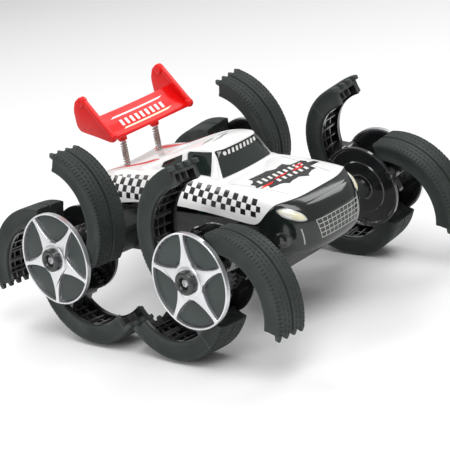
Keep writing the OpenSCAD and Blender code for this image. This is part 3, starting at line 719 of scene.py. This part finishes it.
def framePiece(corner, number, body):
    # ribs, bosses and a lip that ride on the claw frame's own solid
    t = treadLook
    parts = []
    r0, r1 = t["inR"] - 0.6, t["inR"] + 6.2
    zA, zB = t["z1"] + 4.0, t["z0"] - 4.0
    for a in range(-84, 6, 12):
        rib = lathe([(r0 + 1.4, zA), (r1, zA), (r1, zB), (r0 + 1.4, zB)], 2, math.radians(a),
                    math.radians(a + 1.6))
        parts.append(rib)
    for z in (zA + 5, zB - 5):
        parts.append(lathe([(r1 - 4.4, z - 0.5), (r1 + 0.4, z - 0.5), (r1 + 0.4, z + 0.5),
                            (r1 - 4.4, z + 0.5)], 60,
                           math.radians(t["tip"] + 2), math.radians(t["heel"] - 8)))
    for a in (-70, -34):
        boss = lathe([(0, zA), (1.9, zA), (1.9, zB), (0, zB)], 20)
        place = Vector((math.cos(math.radians(a)), math.sin(math.radians(a)), 0)) * (r0 + 3.4)
        parts.append(moved(boss, Matrix.Translation(place)))
    bm = moved(joined(parts), clawMatrix(corner, number))
    newPiece(f"{corner}_claw_{number}_ribs", bm, body, "blackGloss", 30)


def buildWheels():
    tread = treadMesh()
    for corner in cornerNames:
        print("wheel", corner)
        body = f"{corner}_wheel"
        starPiece(corner, body)
        panelPiece(corner, body)
        backPlatePiece(corner, body)
        capPiece(corner, body)
        innerPlatePiece(corner, body)
        for number in (1, 2, 3):
            claw = f"{corner}_claw_{number}"
            bm = moved(copyOf(tread), clawMatrix(corner, number))
            newPiece(f"{claw}_rubber", bm, claw, "tread", 40,
                     [f"{corner}_claw_tread_{number}"])
            framePiece(corner, number, claw)
    tread.free()


# half sections from the middle outwards: roof, roof edge, cabin foot, shoulder,
# flank, skirt; mm from the hubs
shellRows = [
    [(0, -84, 26.2), (10, -83.9, 26.1), (19, -83.2, 25.9), (27, -80.6, 26), (34.8, -77, 26.3),
     (38, -70.5, 20.4), (38.8, -64, 12.5)],
    [(0, -77, 27.9), (10, -77, 27.8), (20, -76.6, 27.7), (27.5, -74.5, 27.8), (34.5, -70, 27.6),
     (38.5, -63, 21.5), (39.3, -57, 13.2)],
    [(0, -60, 30.4), (11, -60, 30.3), (21, -60, 30.2), (28, -59, 30), (33.6, -57, 29.4), (39, -53, 22.5),
     (39.8, -50, 14.4)],
    [(0, -42, 32.2), (12, -42, 32.1), (22, -42, 31.9), (28, -42, 31.7), (32.0, -41, 31.2),
     (39.4, -40, 23.5), (40, -39, 16)],
    [(0, -31, 33.1), (13, -30.6, 33), (24, -29.4, 32.7), (27.4, -28.6, 32.5), (31, -27.6, 32.3),
     (39.5, -27, 24.5), (40, -27, 17.4)],
    [(0, -29.6, 34), (13, -29, 33.9), (24.6, -27.5, 33.6), (26.8, -26.4, 33), (30.8, -25.8, 32.7),
     (39.5, -25, 24.7), (40, -25, 17.6)],
    [(0, -24.4, 51.9), (11, -24.0, 51.7), (20, -22.7, 50.4), (26.6, -20.4, 33.9), (30.5, -20, 33.3),
     (39.5, -20, 25), (40, -20, 18)],
    [(0, -22.6, 52.8), (11, -22.2, 52.6), (20, -20.9, 51.4), (26.5, -18.4, 34.1), (30.4, -18, 33.5),
     (39.5, -18, 25.2), (40, -18, 18.2)],
    [(0, -12, 53.2), (11, -12, 53), (20.2, -12, 51.8), (26.4, -11, 34.5), (30.1, -11, 34),
     (39.5, -11, 25.5), (40, -11, 18.8)],
    [(0, 3, 51.6), (11, 3, 51.4), (20.4, 3, 50.2), (26.2, 3, 35.2), (29.8, 3, 34.8), (39.4, 3, 26),
     (40, 3, 19.8)],
    [(0, 18, 47), (11, 18, 46.8), (20.7, 18, 45.8), (26, 18, 35.8), (29.4, 18, 35.4), (39.2, 18, 26.5),
     (40, 18, 20.4)],
    [(0, 40, 39), (11, 40, 39), (21.2, 40, 39.2), (25.6, 40, 35.8), (29, 40, 35.4), (39, 40, 26.5),
     (39.8, 40, 18.5)],
    [(0, 60, 33.5), (11, 60, 33.5), (20.6, 60, 34.4), (25, 60, 35), (28.6, 60, 34.6), (38.6, 60, 26),
     (39.2, 60, 15.4)],
    [(0, 76, 30.8), (11, 76, 30.8), (20, 76, 31.4), (24.5, 76, 32.2), (27.5, 76, 31.6), (36.5, 76, 24),
     (37.5, 76, 14.8)],
    [(0, 82.4, 28.6), (10, 82.4, 28.6), (19, 82.2, 28.9), (23.5, 81.8, 29.2), (26.5, 81, 28.6),
     (34.2, 79.8, 22), (35, 79.4, 14.6)],
    [(0, 83.6, 26.4), (10, 83.6, 26.4), (19, 83.4, 26.6), (23.5, 83, 26.6), (26.5, 82, 26),
     (34, 80.6, 20.6), (34.8, 80.2, 14.5)],
    [(0, 84, 14.4), (10, 84, 14.4), (19, 83.8, 14.4), (23.5, 83.4, 14.4), (26.5, 82.4, 14.4),
     (33.4, 81, 14.4), (34.6, 80.4, 14.3)],
]
noseRows = [
    [(0, -83.6, 26.0), (10, -83.5, 25.9), (19, -82.8, 25.7), (26.8, -80.3, 25.8), (34.6, -76.8, 26.0),
     (37.9, -70.2, 20.2), (38.7, -63.8, 12.4)],
    [(0, -85.0, 25.6), (10, -84.9, 25.5), (19, -84.2, 25.3), (27, -81.6, 25.4), (34.9, -78, 25.5),
     (38.1, -71.4, 19.6), (38.9, -64.6, 11.8)],
    [(0, -89.8, 23.4), (10, -89.7, 23.3), (19.6, -88.8, 23.2), (26.8, -86, 22.9), (33.4, -81.2, 22),
     (37.6, -73.4, 16.6), (39, -65.1, 9.5)],
    [(0, -90.1, 22.5), (10, -90, 22.4), (19.6, -89.1, 22.3), (26.8, -86.4, 22.2), (33.4, -81.4, 21.6),
     (37.6, -73.5, 16.2), (39, -65.15, 9.2)],
    [(0, -91.9, 21.9), (10, -91.8, 21.8), (19.7, -90.8, 21.7), (27.2, -87.4, 21.2), (33.4, -82, 20.8),
     (37.6, -73.8, 15.6), (39, -65.3, 8.6)],
    [(0, -95.6, 17), (10, -95.5, 17), (20, -94.4, 16.8), (27.4, -90.2, 16.6), (33.6, -84, 16),
     (37.8, -75.2, 12), (39.2, -65.8, 6)],
    [(0, -96.9, 12.8), (10, -96.8, 12.8), (20.4, -95.7, 12.6), (27.7, -91.2, 12.4), (33.8, -84.8, 12),
     (38, -75.8, 8.6), (39.2, -66.2, 3.4)],
    [(0, -97, 6), (10, -96.9, 6), (20.4, -95.8, 6), (27.7, -91.4, 6), (33.8, -85, 5.8), (38, -76.3, 3.6),
     (39.2, -67, 0.4)],
    [(0, -96.4, -0.6), (10, -96.3, -0.6), (20, -95.2, -0.6), (27.2, -90.8, -0.6), (33.3, -84.5, -0.8),
     (37.6, -76.3, -1.6), (38.8, -68, -2.8)],
    [(0, -93.6, -6.6), (10, -93.5, -6.6), (19, -92.2, -6.6), (26, -88, -6.6), (32, -82.2, -6.4),
     (36.4, -75.6, -6), (37.6, -69, -5.8)],
    [(0, -88.5, -9.3), (10, -88.4, -9.3), (18.5, -87.2, -9.3), (24.6, -84, -9.1), (30, -79.2, -8.8),
     (34.6, -74.4, -8.2), (36, -70, -7.8)],
    [(0, -76, -9.8), (10, -76, -9.8), (18, -76, -9.7), (24, -75, -9.6), (29, -73, -9.3), (33, -71, -8.8),
     (34.4, -69.4, -8.4)],
]


def bodyCrease(a, b):
    # firm the screen's base and top, the roof edges and the tail edge
    za, zb = a.z - hubZ, b.z - hubZ
    sameStation = abs(a.y - b.y) < 2.2
    if sameStation and abs(a.x - b.x) > 0.5:
        if -31.2 < a.y < -26 and za < 34.5 and zb < 34.5 and abs(a.x) < 27:
            return 0.85
        if -25 < a.y < -20 and za > 50 and zb > 50:
            return 0.5
        if a.y > 81.5 and za > 25:
            return 0.35
    if not sameStation and za > 40 and zb > 40 and abs(abs(a.x) - 20.4) < 1 and abs(abs(b.x) - 20.4) < 1:
        return 0.5
    if not sameStation and abs(abs(a.x) - 26.4) < 1.2 and abs(abs(b.x) - 26.4) < 1.2 and -28 < a.y < 30:
        return 0.45
    if not sameStation and 27 < abs(a.x) < 35 and 27 < abs(b.x) < 35 and za > 25:
        return 0.3
    return 0.0


def loft(rows):
    full = []
    for row in rows:
        left = [(x, y, z + hubZ) for x, y, z in row]
        right = [(-x, y, z) for x, y, z in left[1:]]
        full.append(right[::-1] + left)
    return gridMesh(full)


def skinOf(rows, levels, crease):
    bm = smoothed(loft(rows), levels, crease)
    bmesh.ops.recalc_face_normals(bm, faces=bm.faces)
    top = max(bm.faces, key=lambda f: f.calc_center_median().z)
    if top.normal.z < 0:
        bmesh.ops.reverse_faces(bm, faces=bm.faces)
    return bm


def thickened(bm, thickness, even=True):
    return withModifiers(bm, ("SOLIDIFY", {"thickness": thickness, "offset": -1.0,
                                           "use_even_offset": even}))


def sidePrism(outline, x0, x1, bevel=0.0, segments=2):
    # outline in (y, height over the hubs), drawn across the car from x0 to x1
    bm = prism([(y, z) for y, z in outline], 0, x1 - x0, bevel, segments)
    turn = Matrix(((0, 0, 1, x0), (1, 0, 0, 0), (0, 1, 0, hubZ), (0, 0, 0, 1)))
    return moved(bm, turn)


def frontPrism(outline, y0, y1):
    bm = prism([(x, z) for x, z in outline], 0, y1 - y0)
    turn = Matrix(((1, 0, 0, 0), (0, 0, 1, y0), (0, 1, 0, hubZ), (0, 0, 0, 1)))
    return moved(bm, turn)


def windowCutters():
    screen = rounded([(24.0, 34.2), (19.3, 50.6), (-19.3, 50.6), (-24.0, 34.2)], 1.3)
    tools = [frontPrism(screen, -34, -18)]
    main = rounded([(-19.6, 35.4), (2.4, 36.2), (2.8, 47.4), (1.2, 49.2), (-18.2, 50)], 1.0)
    rear = rounded([(6.6, 37.0), (26, 37.6), (24.4, 40.8), (7.0, 47)], 0.9)
    for outline in (main, rear):
        for side in (-1, 1):
            x0 = 16 if side > 0 else -32
            tools.append(sidePrism(outline, x0, x0 + 16))
    return tools


def buildBody():
    print("body shell")
    skin = skinOf(shellRows, 3, bodyCrease)
    tree = BVHTree.FromBMesh(skin)
    liner = skin.copy()
    shell = thickened(skin, 1.0)
    for tool in windowCutters():
        shell = cut(shell, tool)
    newPiece("white_shell", shell, "chassis", "body", 32, ["body_shell"])
    # dark liner just under the cabin
    drop = [f for f in liner.faces if not (-29.3 < f.calc_center_median().y < 30
                                          and f.calc_center_median().z > hubZ + 34.2)]
    bmesh.ops.delete(liner, geom=drop, context="FACES")
    shift = {v: v.normal * 1.2 for v in liner.verts}
    for v, step in shift.items():
        v.co -= step
    newPiece("window_liner", thickened(liner, 0.6, False), "chassis", "glass", 30,
             ["window_insert"])
    return tree


def buildNose():
    print("nose")
    skin = skinOf(noseRows, 3, lambda a, b: 0.25 if a.z > hubZ + 24 and b.z > hubZ + 24 else 0.0)
    tree = BVHTree.FromBMesh(skin)
    nose = thickened(skin, 1.2)
    for corner in ("front_right", "front_left"):
        nose = cut(nose, moved(lathe([(0, -80), (13.2, -80), (13.2, -30), (0, -30)], 64),
                               wheelFrames[corner]))
    newPiece("black_nose", nose, "chassis", "noseBlack", 32, ["nose_fascia"])
    return tree


def onSurface(tree, place, direction, lift):
    hit = tree.ray_cast(Vector(place), Vector(direction))
    if hit[0] is None:
        hit = tree.find_nearest(Vector(place))
    normal = hit[1]
    if normal.dot(Vector(direction)) > 0:
        normal = -normal
    return hit[0] + normal * lift


def decal(name, tree, outline, toWorld, direction, mat, lift=0.1, thick=0.1, size=2.0,
          body="chassis", dome=0.0, stands=()):
    # a thin sheet laid on a surface: the outline is filled, cut finely and dropped along a direction
    bm = bmesh.new()
    verts = [bm.verts.new((u, v, 0)) for u, v in outline]
    bm.faces.new(verts)
    bmesh.ops.triangulate(bm, faces=bm.faces)
    for step in range(5):
        long = [e for e in bm.edges if e.calc_length() > size]
        if not long:
            break
        bmesh.ops.subdivide_edges(bm, edges=long, cuts=1)
        bmesh.ops.triangulate(bm, faces=bm.faces)
    rim = {v for e in bm.edges if e.is_boundary for v in e.verts}
    rimPoints = [v.co.xy.copy() for v in rim]
    heights = {}
    if dome:
        for v in bm.verts:
            near = min((v.co.xy - q).length for q in rimPoints)
            heights[v] = dome * math.sin(min(1, near / 3.0) * math.pi / 2)
    for v in bm.verts:
        extra = heights.get(v, 0.0)
        v.co = onSurface(tree, toWorld(v.co.x, v.co.y), direction, lift + extra)
    bmesh.ops.recalc_face_normals(bm, faces=bm.faces)
    facing = sum((f.normal.dot(Vector(direction)) * f.calc_area() for f in bm.faces))
    if facing > 0:
        bmesh.ops.reverse_faces(bm, faces=bm.faces)
    bm = thickened(bm, thick + lift, False)
    return newPiece(name, bm, body, mat, 40, stands)


def fromAbove(u, v):
    return (u, v, hubZ + 90)


def fromFront(u, v):
    return (u, -140, hubZ + v)


down = (0, 0, -1)
ahead = (0, 1, 0)


def buildGraphics(tree):
    print("graphics")
    flames = {
        "right": [(-25, 80), (-22.6, 70), (-22.2, 60), (-21.4, 50), (-21, 40), (-19.4, 29), (-17.4, 40),
                  (-18, 50), (-17.2, 58), (-18.4, 66), (-20.4, 77)],
        "left": [(25, 80), (23, 70), (22.8, 60), (22.4, 48), (21.4, 36), (19.6, 24), (16.2, 11),
                 (14.4, 24), (15, 36), (16.2, 50), (17.4, 64), (20, 76)],
    }
    for label, outline in flames.items():
        decal(f"flame_{label}", tree, rounded(outline, 2.2, 4), fromAbove, down, "decalRed")
    random.seed(11)
    blob = []
    count = 46
    for i in range(count):
        a = i * math.tau / count
        reach = 0.98 + random.uniform(-0.14, 0.1) + (0.2 if i % 4 == 0 else 0)
        blob.append((1.5 + 24 * math.cos(a) * reach, -55 + 12 * math.sin(a) * reach - 2.4 * math.cos(a)))
    decal("hood_splash", tree, blob, fromAbove, down, "decalBlack", 0.08)
    for i in range(9):
        x = -16.5 + i * 4.5
        y = -52.0 - 0.1 * x
        h = 4.8 + 0.7 * math.sin(i * 2.1)
        bar = [(x - 1.5, y - h / 2), (x + 0.7, y - h / 2), (x + 2.0, y + h / 2), (x - 0.1, y + h / 2)]
        decal(f"hood_bar_{i + 1}", tree, bar, fromAbove, down, "decalWhite", 0.16)
    for i in range(6):
        x = -8 + i * 4.8
        y = -59.2 - 0.1 * x
        bar = [(x - 1.3, y - 2.2), (x + 1.0, y - 2.2), (x + 2.1, y + 1.7), (x - 0.1, y + 1.7)]
        decal(f"hood_mark_{i + 1}", tree, bar, fromAbove, down, "decalWhite", 0.16)
    for i, (x, y, w, h) in enumerate(((-17, -57.3, 13, 2.6), (-2, -55.6, 15, 1.7), (13, -57.2, 12, 2.4),
                                      (18, -53.6, 9, 2.6))):
        streak = [(x - w / 2, y), (x - w / 6, y + h * 0.5), (x + w / 2, y + h * 0.2),
                  (x + w / 5, y - h * 0.6)]
        decal(f"hood_streak_{i + 1}", tree, streak, fromAbove, down, "decalRed", 0.22)
    for side, label in ((-1, "right"), (1, "left")):
        seam = [(side * 20.6, -76.2), (side * 20.2, -76.2), (side * 25.6, -34), (side * 26.0, -34)]
        decal(f"hood_seam_{label}", tree, seam, fromAbove, down, "decalGrey", 0.03, 0.05,
              2.0)
    for i, (x, y, w, h, mat) in enumerate(((-8, -4, 15, 2.0, "decalGrey"), (-3, -9, 12, 1.5, "decalGrey"),
                                           (4, -7.4, 9, 1.4, "decalBlack"), (8, -3, 12, 1.6, "decalGrey"))):
        streak = [(x - w / 2, y - h * 0.4), (x, y + h * 0.6), (x + w / 2, y + h * 0.5),
                  (x + w / 4, y - h * 0.5)]
        decal(f"roof_streak_{i + 1}", tree, streak, fromAbove, down, mat, 0.1)


def fromBehind(u, v):
    return (u, 140, hubZ + v)


def buildTail(tree):
    print("tail")
    back = (0, -1, 0)
    for side, label in ((-1, "right"), (1, "left")):
        lamp = rounded([(side * 31.4, 22.4), (side * 31, 17.6), (side * 19, 17.6), (side * 18, 22.8)], 1.6)
        decal(f"tail_rim_{label}", tree, lamp, fromBehind, back, "decalBlack", 0.1, 0.2, 1.5)
        lens = rounded([(side * 30.4, 21.6), (side * 30.1, 18.3), (side * 20, 18.3), (side * 19.2, 21.9)],
                       1.2)
        decal(f"tail_lamp_{label}", tree, lens, fromBehind, back, "decalRed", 0.3, 0.5, 1.2,
              dome=0.5)
    panel = rounded([(-14, 22.6), (14, 22.6), (12.6, 17.2), (-12.6, 17.2)], 1.2)
    decal("tail_panel", tree, panel, fromBehind, back, "decalBlack", 0.1, 0.2, 2.0)
    for i in range(5):
        z = 18.3 + i * 0.9
        bar = [(-11.6, z - 0.14), (11.6, z - 0.14), (11.6, z + 0.14), (-11.6, z + 0.14)]
        decal(f"tail_bar_{i + 1}", tree, bar, fromBehind, back, "grille", 0.16, 0.3, 2.5)


def buildScreenBand():
    # the visor strip at the top of the screen: a dark band with plain white marks
    tree = BVHTree.FromObject(bpy.data.objects["window_liner"], bpy.context.evaluated_depsgraph_get())
    world = lambda u, v: (u * mm, -0.14, (hubZ + v) * mm)
    for i in range(9):
        x = -14.4 + i * 3.6
        if i in (0, 8):
            mark = [(x + 1.3 * math.cos(t * math.tau / 14),
                     47.6 + 1.3 * math.sin(t * math.tau / 14)) for t in range(14)]
        else:
            mark = [(x - 1.15, 46.2), (x + 0.6, 46.2), (x + 1.2, 49.0), (x - 0.55, 49.0)]
        outline = mark
        bm = bmesh.new()
        verts = []
        for u, v in outline:
            hit = tree.ray_cast(Vector(world(u, v)), Vector((0, 1, 0)))
            p = hit[0] if hit[0] else Vector((u * mm, -0.024, (hubZ + v) * mm))
            verts.append(bm.verts.new(p / mm + Vector((0, -0.12, 0.02))))
        bm.faces.new(verts)
        bm = thickened(bm, 0.1)
        newPiece(f"visor_mark_{i + 1}", bm, "chassis", "decalWhite", 40)


def buildNoseDetail(tree):
    print("lamps and grille")
    for side, label in ((-1, "right"), (1, "left")):
        lamp = rounded([(side * 34.8, 22.2), (side * 31.5, 22.4), (side * 26.4, 17.8), (side * 25.4, 14.4),
                        (side * 28.9, 14.8), (side * 33.4, 18.0)], 1.6)
        decal(f"lamp_{label}", tree, lamp, fromFront, ahead, "lens", 0.45, 0.9, 1.2,
              dome=1.0, stands=["headlights"])
        rim = rounded([(side * 35.4, 22.9), (side * 31.3, 23.1), (side * 25.8, 18.2), (side * 24.6, 13.7),
                       (side * 29.0, 14.1), (side * 34.0, 17.5)], 1.8)
        decal(f"lamp_rim_{label}", tree, rim, fromFront, ahead, "silver", 0.22, 0.6, 1.2)
        slash = [(side * 29.4, 9.5), (side * 28.8, 9.5), (side * 27.4, -1.0), (side * 28.0, -1.4)]
        decal(f"nose_slash_{label}", tree, slash, fromFront, ahead, "grille", 0.08, 0.1)
    for side, label in ((-1, "right"), (1, "left")):
        lamp = bmesh.new()
        bmesh.ops.create_uvsphere(lamp, u_segments=40, v_segments=24, radius=1)
        bmesh.ops.scale(lamp, vec=(6.4, 2.8, 5.8), verts=lamp.verts)
        turn = Matrix.Translation((side * 34.2, -79.6, hubZ + 4.0)) @ Matrix.Rotation(side * 0.9, 4, "Z")
        newPiece(f"fog_lamp_{label}", moved(lamp, turn), "chassis", "blackGloss", 60)
    top, bottom = 12.4, 0.2
    half = lambda z: 17.6 + (z - bottom) / (top - bottom) * 2.6
    lines = []
    for z in (top, 9.4, 6.4, 3.4, bottom):
        lines.append([(-half(z), z - 0.28), (half(z), z - 0.28), (half(z), z + 0.28), (-half(z), z + 0.28)])
    count = 11
    for i in range(count):
        k = i / (count - 1) * 2 - 1
        w = 0.26
        lines.append([(half(bottom) * k - w, bottom), (half(bottom) * k + w, bottom),
                      (half(top) * k + w, top), (half(top) * k - w, top)])
    for i, line in enumerate(lines):
        decal(f"grille_bar_{i + 1}", tree, line, fromFront, ahead, "grille", 0.18, 0.35, 3.0)
    lip = [(-30, -8.6), (30, -8.6), (30, -8.1), (-30, -8.1)]
    decal("bumper_lip", tree, lip, fromFront, ahead, "grille", 0.06, 0.2, 3.0)


wingLook = {
    "half": 38.0,
    "plate": 1.8,
    "springY": 66.0,
    "springX": 15.5,
    "springLow": 32.4,
    "springHigh": 50.6,
    "travel": 5.0,
}


def bladeSection(k):
    # outline of the blade at a share k of the half span; it thickens a little towards the plates
    top = [(51.6, 58.6), (55, 61.2), (59, 63.6), (63, 66.2), (66.4, 69.4), (68.6, 72.4)]
    low = [(67.2, 69.2), (63.4, 64.6), (59.4, 61.4), (55.6, 58.8), (52.4, 56.8)]
    lift = 0.8 * k * k
    return [(y, z + lift) for y, z in top] + [(y, z - 0.2 * k) for y, z in low]


def buildWing():
    print("wing")
    w = wingLook
    rows = []
    steps = 24
    for i in range(steps + 1):
        x = -w["half"] + 0.9 + (2 * w["half"] - 1.8) * i / steps
        k = abs(x) / w["half"]
        rows.append([(x, y, z + hubZ) for y, z in bladeSection(k)])
    blade = smoothed(gridMesh(rows, True, True, True), 2, lambda a,
                     b: 1.0 if abs(a.x) > 37 and abs(b.x) > 37 else 0.0)
    parts = [blade]
    side = [(48.6, 60), (49.6, 57.6), (53, 57.2), (66, 60.2), (79.6, 63), (82.2, 66.6), (82.6, 77),
            (80, 83.4), (75.4, 86.4), (71.6, 85.2), (70.4, 82.6)]
    for s in (-1, 1):
        x0 = s * (w["half"] - w["plate"] / 2) - w["plate"] / 2
        parts.append(sidePrism(rounded(side, 2.2, 4), x0, x0 + w["plate"], 0.35, 2))
        # raised lip along the front edge of the plate, and its two round ends
        lip = [(50.4, 62.6), (52.4, 61.0), (72.6, 83.4), (70.6, 85.0)]
        parts.append(sidePrism(rounded(lip, 0.8, 3), x0 - 0.7, x0 + w["plate"] + 0.7, 0.3, 2))
        for y, z, r, wide in ((73.6, 83.4, 3.4, 2.3), (51.3, 60.4, 2.7, 2.2)):
            knob = lathe([(0, -wide), (r * 0.75, -wide), (r * 0.94, -wide + 0.45), (r, -wide + 1),
                          (r, wide - 1), (r * 0.94, wide - 0.45), (r * 0.75, wide), (r * 0.4, wide),
                          (r * 0.3, wide - 0.35), (0, wide - 0.35)], 32)
            turn = Matrix(((0, 0, s, s * (w["half"] - 1.2)), (1, 0, 0, y), (0, s, 0, z + hubZ),
                           (0, 0, 0, 1)))
            parts.append(moved(knob, turn))
        socket = lathe([(0, w["springHigh"] + 2), (1.5, w["springHigh"] + 2), (1.5, w["springHigh"]),
                        (2.8, w["springHigh"]),
                        (3.2, w["springHigh"] + 0.4), (3.2, 57.6), (3.6, 59), (3.9, 63), (0, 66)], 40)
        parts.append(moved(socket, Matrix.Translation((s * w["springX"], w["springY"] - 6.4 + 6.4, hubZ))))
    newPiece("red_wing", joined(parts), "wing", "wing", 34, ["rear_wing"])
    rods = []
    for s in (-1, 1):
        rod = lathe([(0, 19), (1.8, 19), (2, 19.4), (2, 22.6), (1.1, 23.2), (1.1, 56), (0, 56)], 24)
        rods.append(moved(rod, Matrix.Translation((s * w["springX"], w["springY"], hubZ))))
    newPiece("wing_rods", joined(rods), "wing", "steel", 34)
    # plain white bars and a cream line on the blade
    for i in range(9):
        x = -19 + i * 4.75
        bar = [(x - 1.5, 57.2), (x + 0.9, 57.2), (x + 2.1, 61.8), (x - 0.3, 61.8)]
        wingPatch(f"wing_bar_{i + 1}", bar, "decalWhite")
    wingPatch("wing_line", [(-22, 54.8), (20, 54.8), (25, 56.0), (-20, 55.9)], "decalCream")
    wingPatch("wing_edge_line", [(-24, 64.0), (22, 64.0), (26, 64.9), (-21, 64.9)], "decalWhite")


def wingPatch(name, outline, mat):
    tree = wingTree()
    decal(name, tree, outline, fromAbove, down, mat, 0.06, 0.1, 2.0, body="wing")


def wingTree():
    if "tree" not in wingLook:
        w = wingLook
        rows = []
        for i in range(25):
            x = -w["half"] + 0.9 + (2 * w["half"] - 1.8) * i / 24
            rows.append([(x, y, z + hubZ) for y, z in bladeSection(abs(x) / w["half"])])
        wingLook["tree"] = BVHTree.FromBMesh(smoothed(gridMesh(rows, True, True, True), 2))
    return wingLook["tree"]


def buildSprings():
    print("springs")
    w = wingLook
    parts = []
    turns, wire, radius = 10.5, 0.46, 1.85
    low, high = w["springLow"] + 0.5, w["springHigh"] - 0.45
    for s in (-1, 1):
        rows = []
        steps = int(turns * 22)
        for i in range(steps + 1):
            t = i / steps
            # the end turns lie closed
            ease = t + 0.035 * math.sin(math.tau * t)
            a = t * turns * math.tau
            centre = Vector((radius * math.cos(a), radius * math.sin(a), low + (high - low) * ease))
            outward = Vector((math.cos(a), math.sin(a), 0))
            ring = []
            for q in range(8):
                b = q * math.tau / 8
                p = centre + outward * (wire * math.cos(b)) + Vector((0, 0, wire * math.sin(b)))
                ring.append((p.x + s * w["springX"], p.y + w["springY"], p.z + hubZ))
            rows.append(ring)
        parts.append(gridMesh(rows, True, True, True))
    coil = newPiece("coil_springs", joined(parts), "chassis", "spring", 60,
                    ["wing_springs"])
    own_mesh(coil)
    cups = []
    for s in (-1, 1):
        cup = lathe([(1.25, 31), (3.4, 31), (3.4, 32.0), (3.0, 32.5), (1.25, 32.5)], 32)
        cups.append(moved(cup, Matrix.Translation((s * w["springX"], w["springY"], hubZ))))
    newPiece("spring_cups", joined(cups), "chassis", "decalRed", 34)


def paintCad():
    # CAD pieces whose shape is right keep it and take a finish
    looks = {
        "chassis_tray": "chassis", "gearbox_cases": "chassis", "drive_motors": "motor",
        "right_motor_pinion": "brass",
        "left_motor_pinion": "brass", "battery_pack": "battery", "battery_door": "chassis",
        "circuit_board": "board", "power_switch": "cap", "body_screws": "steel",
    }
    for corner in cornerNames:
        looks[f"{corner}_axle"] = "steel"
        for number in (1, 2, 3):
            looks[f"{corner}_claw_frame_{number}"] = "blackGloss"
    for node, look in looks.items():
        mesh = frame["nodes"][node].data
        mesh.materials.clear()
        mesh.materials.append(mats[look])


cameraLook = {
    "azimuth": 45.37,
    "elevation": 18.88,
    "roll": -10.39,
    "distance": 1080.0,  # mm
    "lens": 132.8,
    "shiftY": -0.028,
}


def buildStage():
    floor = bpy.data.meshes.new("floor")
    size = 6.0
    floor.from_pydata([(-size, -size, 0), (size, -size, 0), (size, size, 0), (-size, size, 0)], [],
                      [(0, 1, 2, 3)])
    mat, tree, shader = newMaterial("paleFloor")
    tree.links.new(mixColor(tree, noise(tree, 3.0), (0.9, 0.9, 0.9), (0.88, 0.88, 0.88)),
                   shader.inputs["Base Color"])
    shader.inputs["Roughness"].default_value = 0.5
    floor.materials.append(mat)
    obj = bpy.data.objects.new("floor", floor)
    bpy.context.scene.collection.objects.link(obj)
    world = bpy.data.worlds.new("studio")
    bpy.context.scene.world = world
    world.use_nodes = True
    world.node_tree.nodes["Background"].inputs[0].default_value = (1, 1, 1, 1)
    world.node_tree.nodes["Background"].inputs[1].default_value = 0.42
    lights = [((-0.35, -0.5, 1.1), 0.8, 9.0), ((0.8, -0.2, 0.9), 0.6, 4.0), ((0.1, 0.8, 1.0), 0.8, 6.0),
              ((-0.9, 0.1, 0.45), 0.3, 1.6)]
    for i, (place, size, power) in enumerate(lights):
        data = bpy.data.lights.new(f"light_{i + 1}", "AREA")
        data.shape = "SQUARE"
        data.size = size
        data.energy = power
        light = bpy.data.objects.new(data.name, data)
        bpy.context.scene.collection.objects.link(light)
        light.location = place
        light.rotation_euler = (Vector((0, 0, 0.05)) - Vector(place)).to_track_quat("-Z", "Y").to_euler()
    bpy.context.scene.view_settings.view_transform = "Standard"


def buildCamera():
    c = cameraLook
    a, e, r = (math.radians(c[k]) for k in ("azimuth", "elevation", "roll"))
    a = -a
    right = Vector((math.cos(a), math.sin(a), 0))
    back = Vector((math.sin(a) * math.cos(e), -math.cos(a) * math.cos(e), math.sin(e)))
    up = back.cross(right)
    right2 = right * math.cos(r) + up * math.sin(r)
    up2 = up * math.cos(r) - right * math.sin(r)
    data = bpy.data.cameras.new("camera")
    data.lens = c["lens"]
    data.sensor_width = 36
    data.shift_y = c["shiftY"]
    data.clip_end = 50
    cam = bpy.data.objects.new("camera", data)
    bpy.context.scene.collection.objects.link(cam)
    place = Vector((0, 0, hubZ * mm)) + back * c["distance"] * mm
    cam.matrix_world = Matrix((
        (right2.x, up2.x, back.x, place.x), (right2.y, up2.y, back.y, place.y),
        (right2.z, up2.z, back.z, place.z), (0, 0, 0, 1)))
    bpy.context.scene.camera = cam


buildCamera()
buildStage()
buildWheels()
shellTree = buildBody()
noseTree = buildNose()
buildGraphics(shellTree)
buildScreenBand()
buildNoseDetail(noseTree)
buildTail(shellTree)
buildWing()
buildSprings()
paintCad()
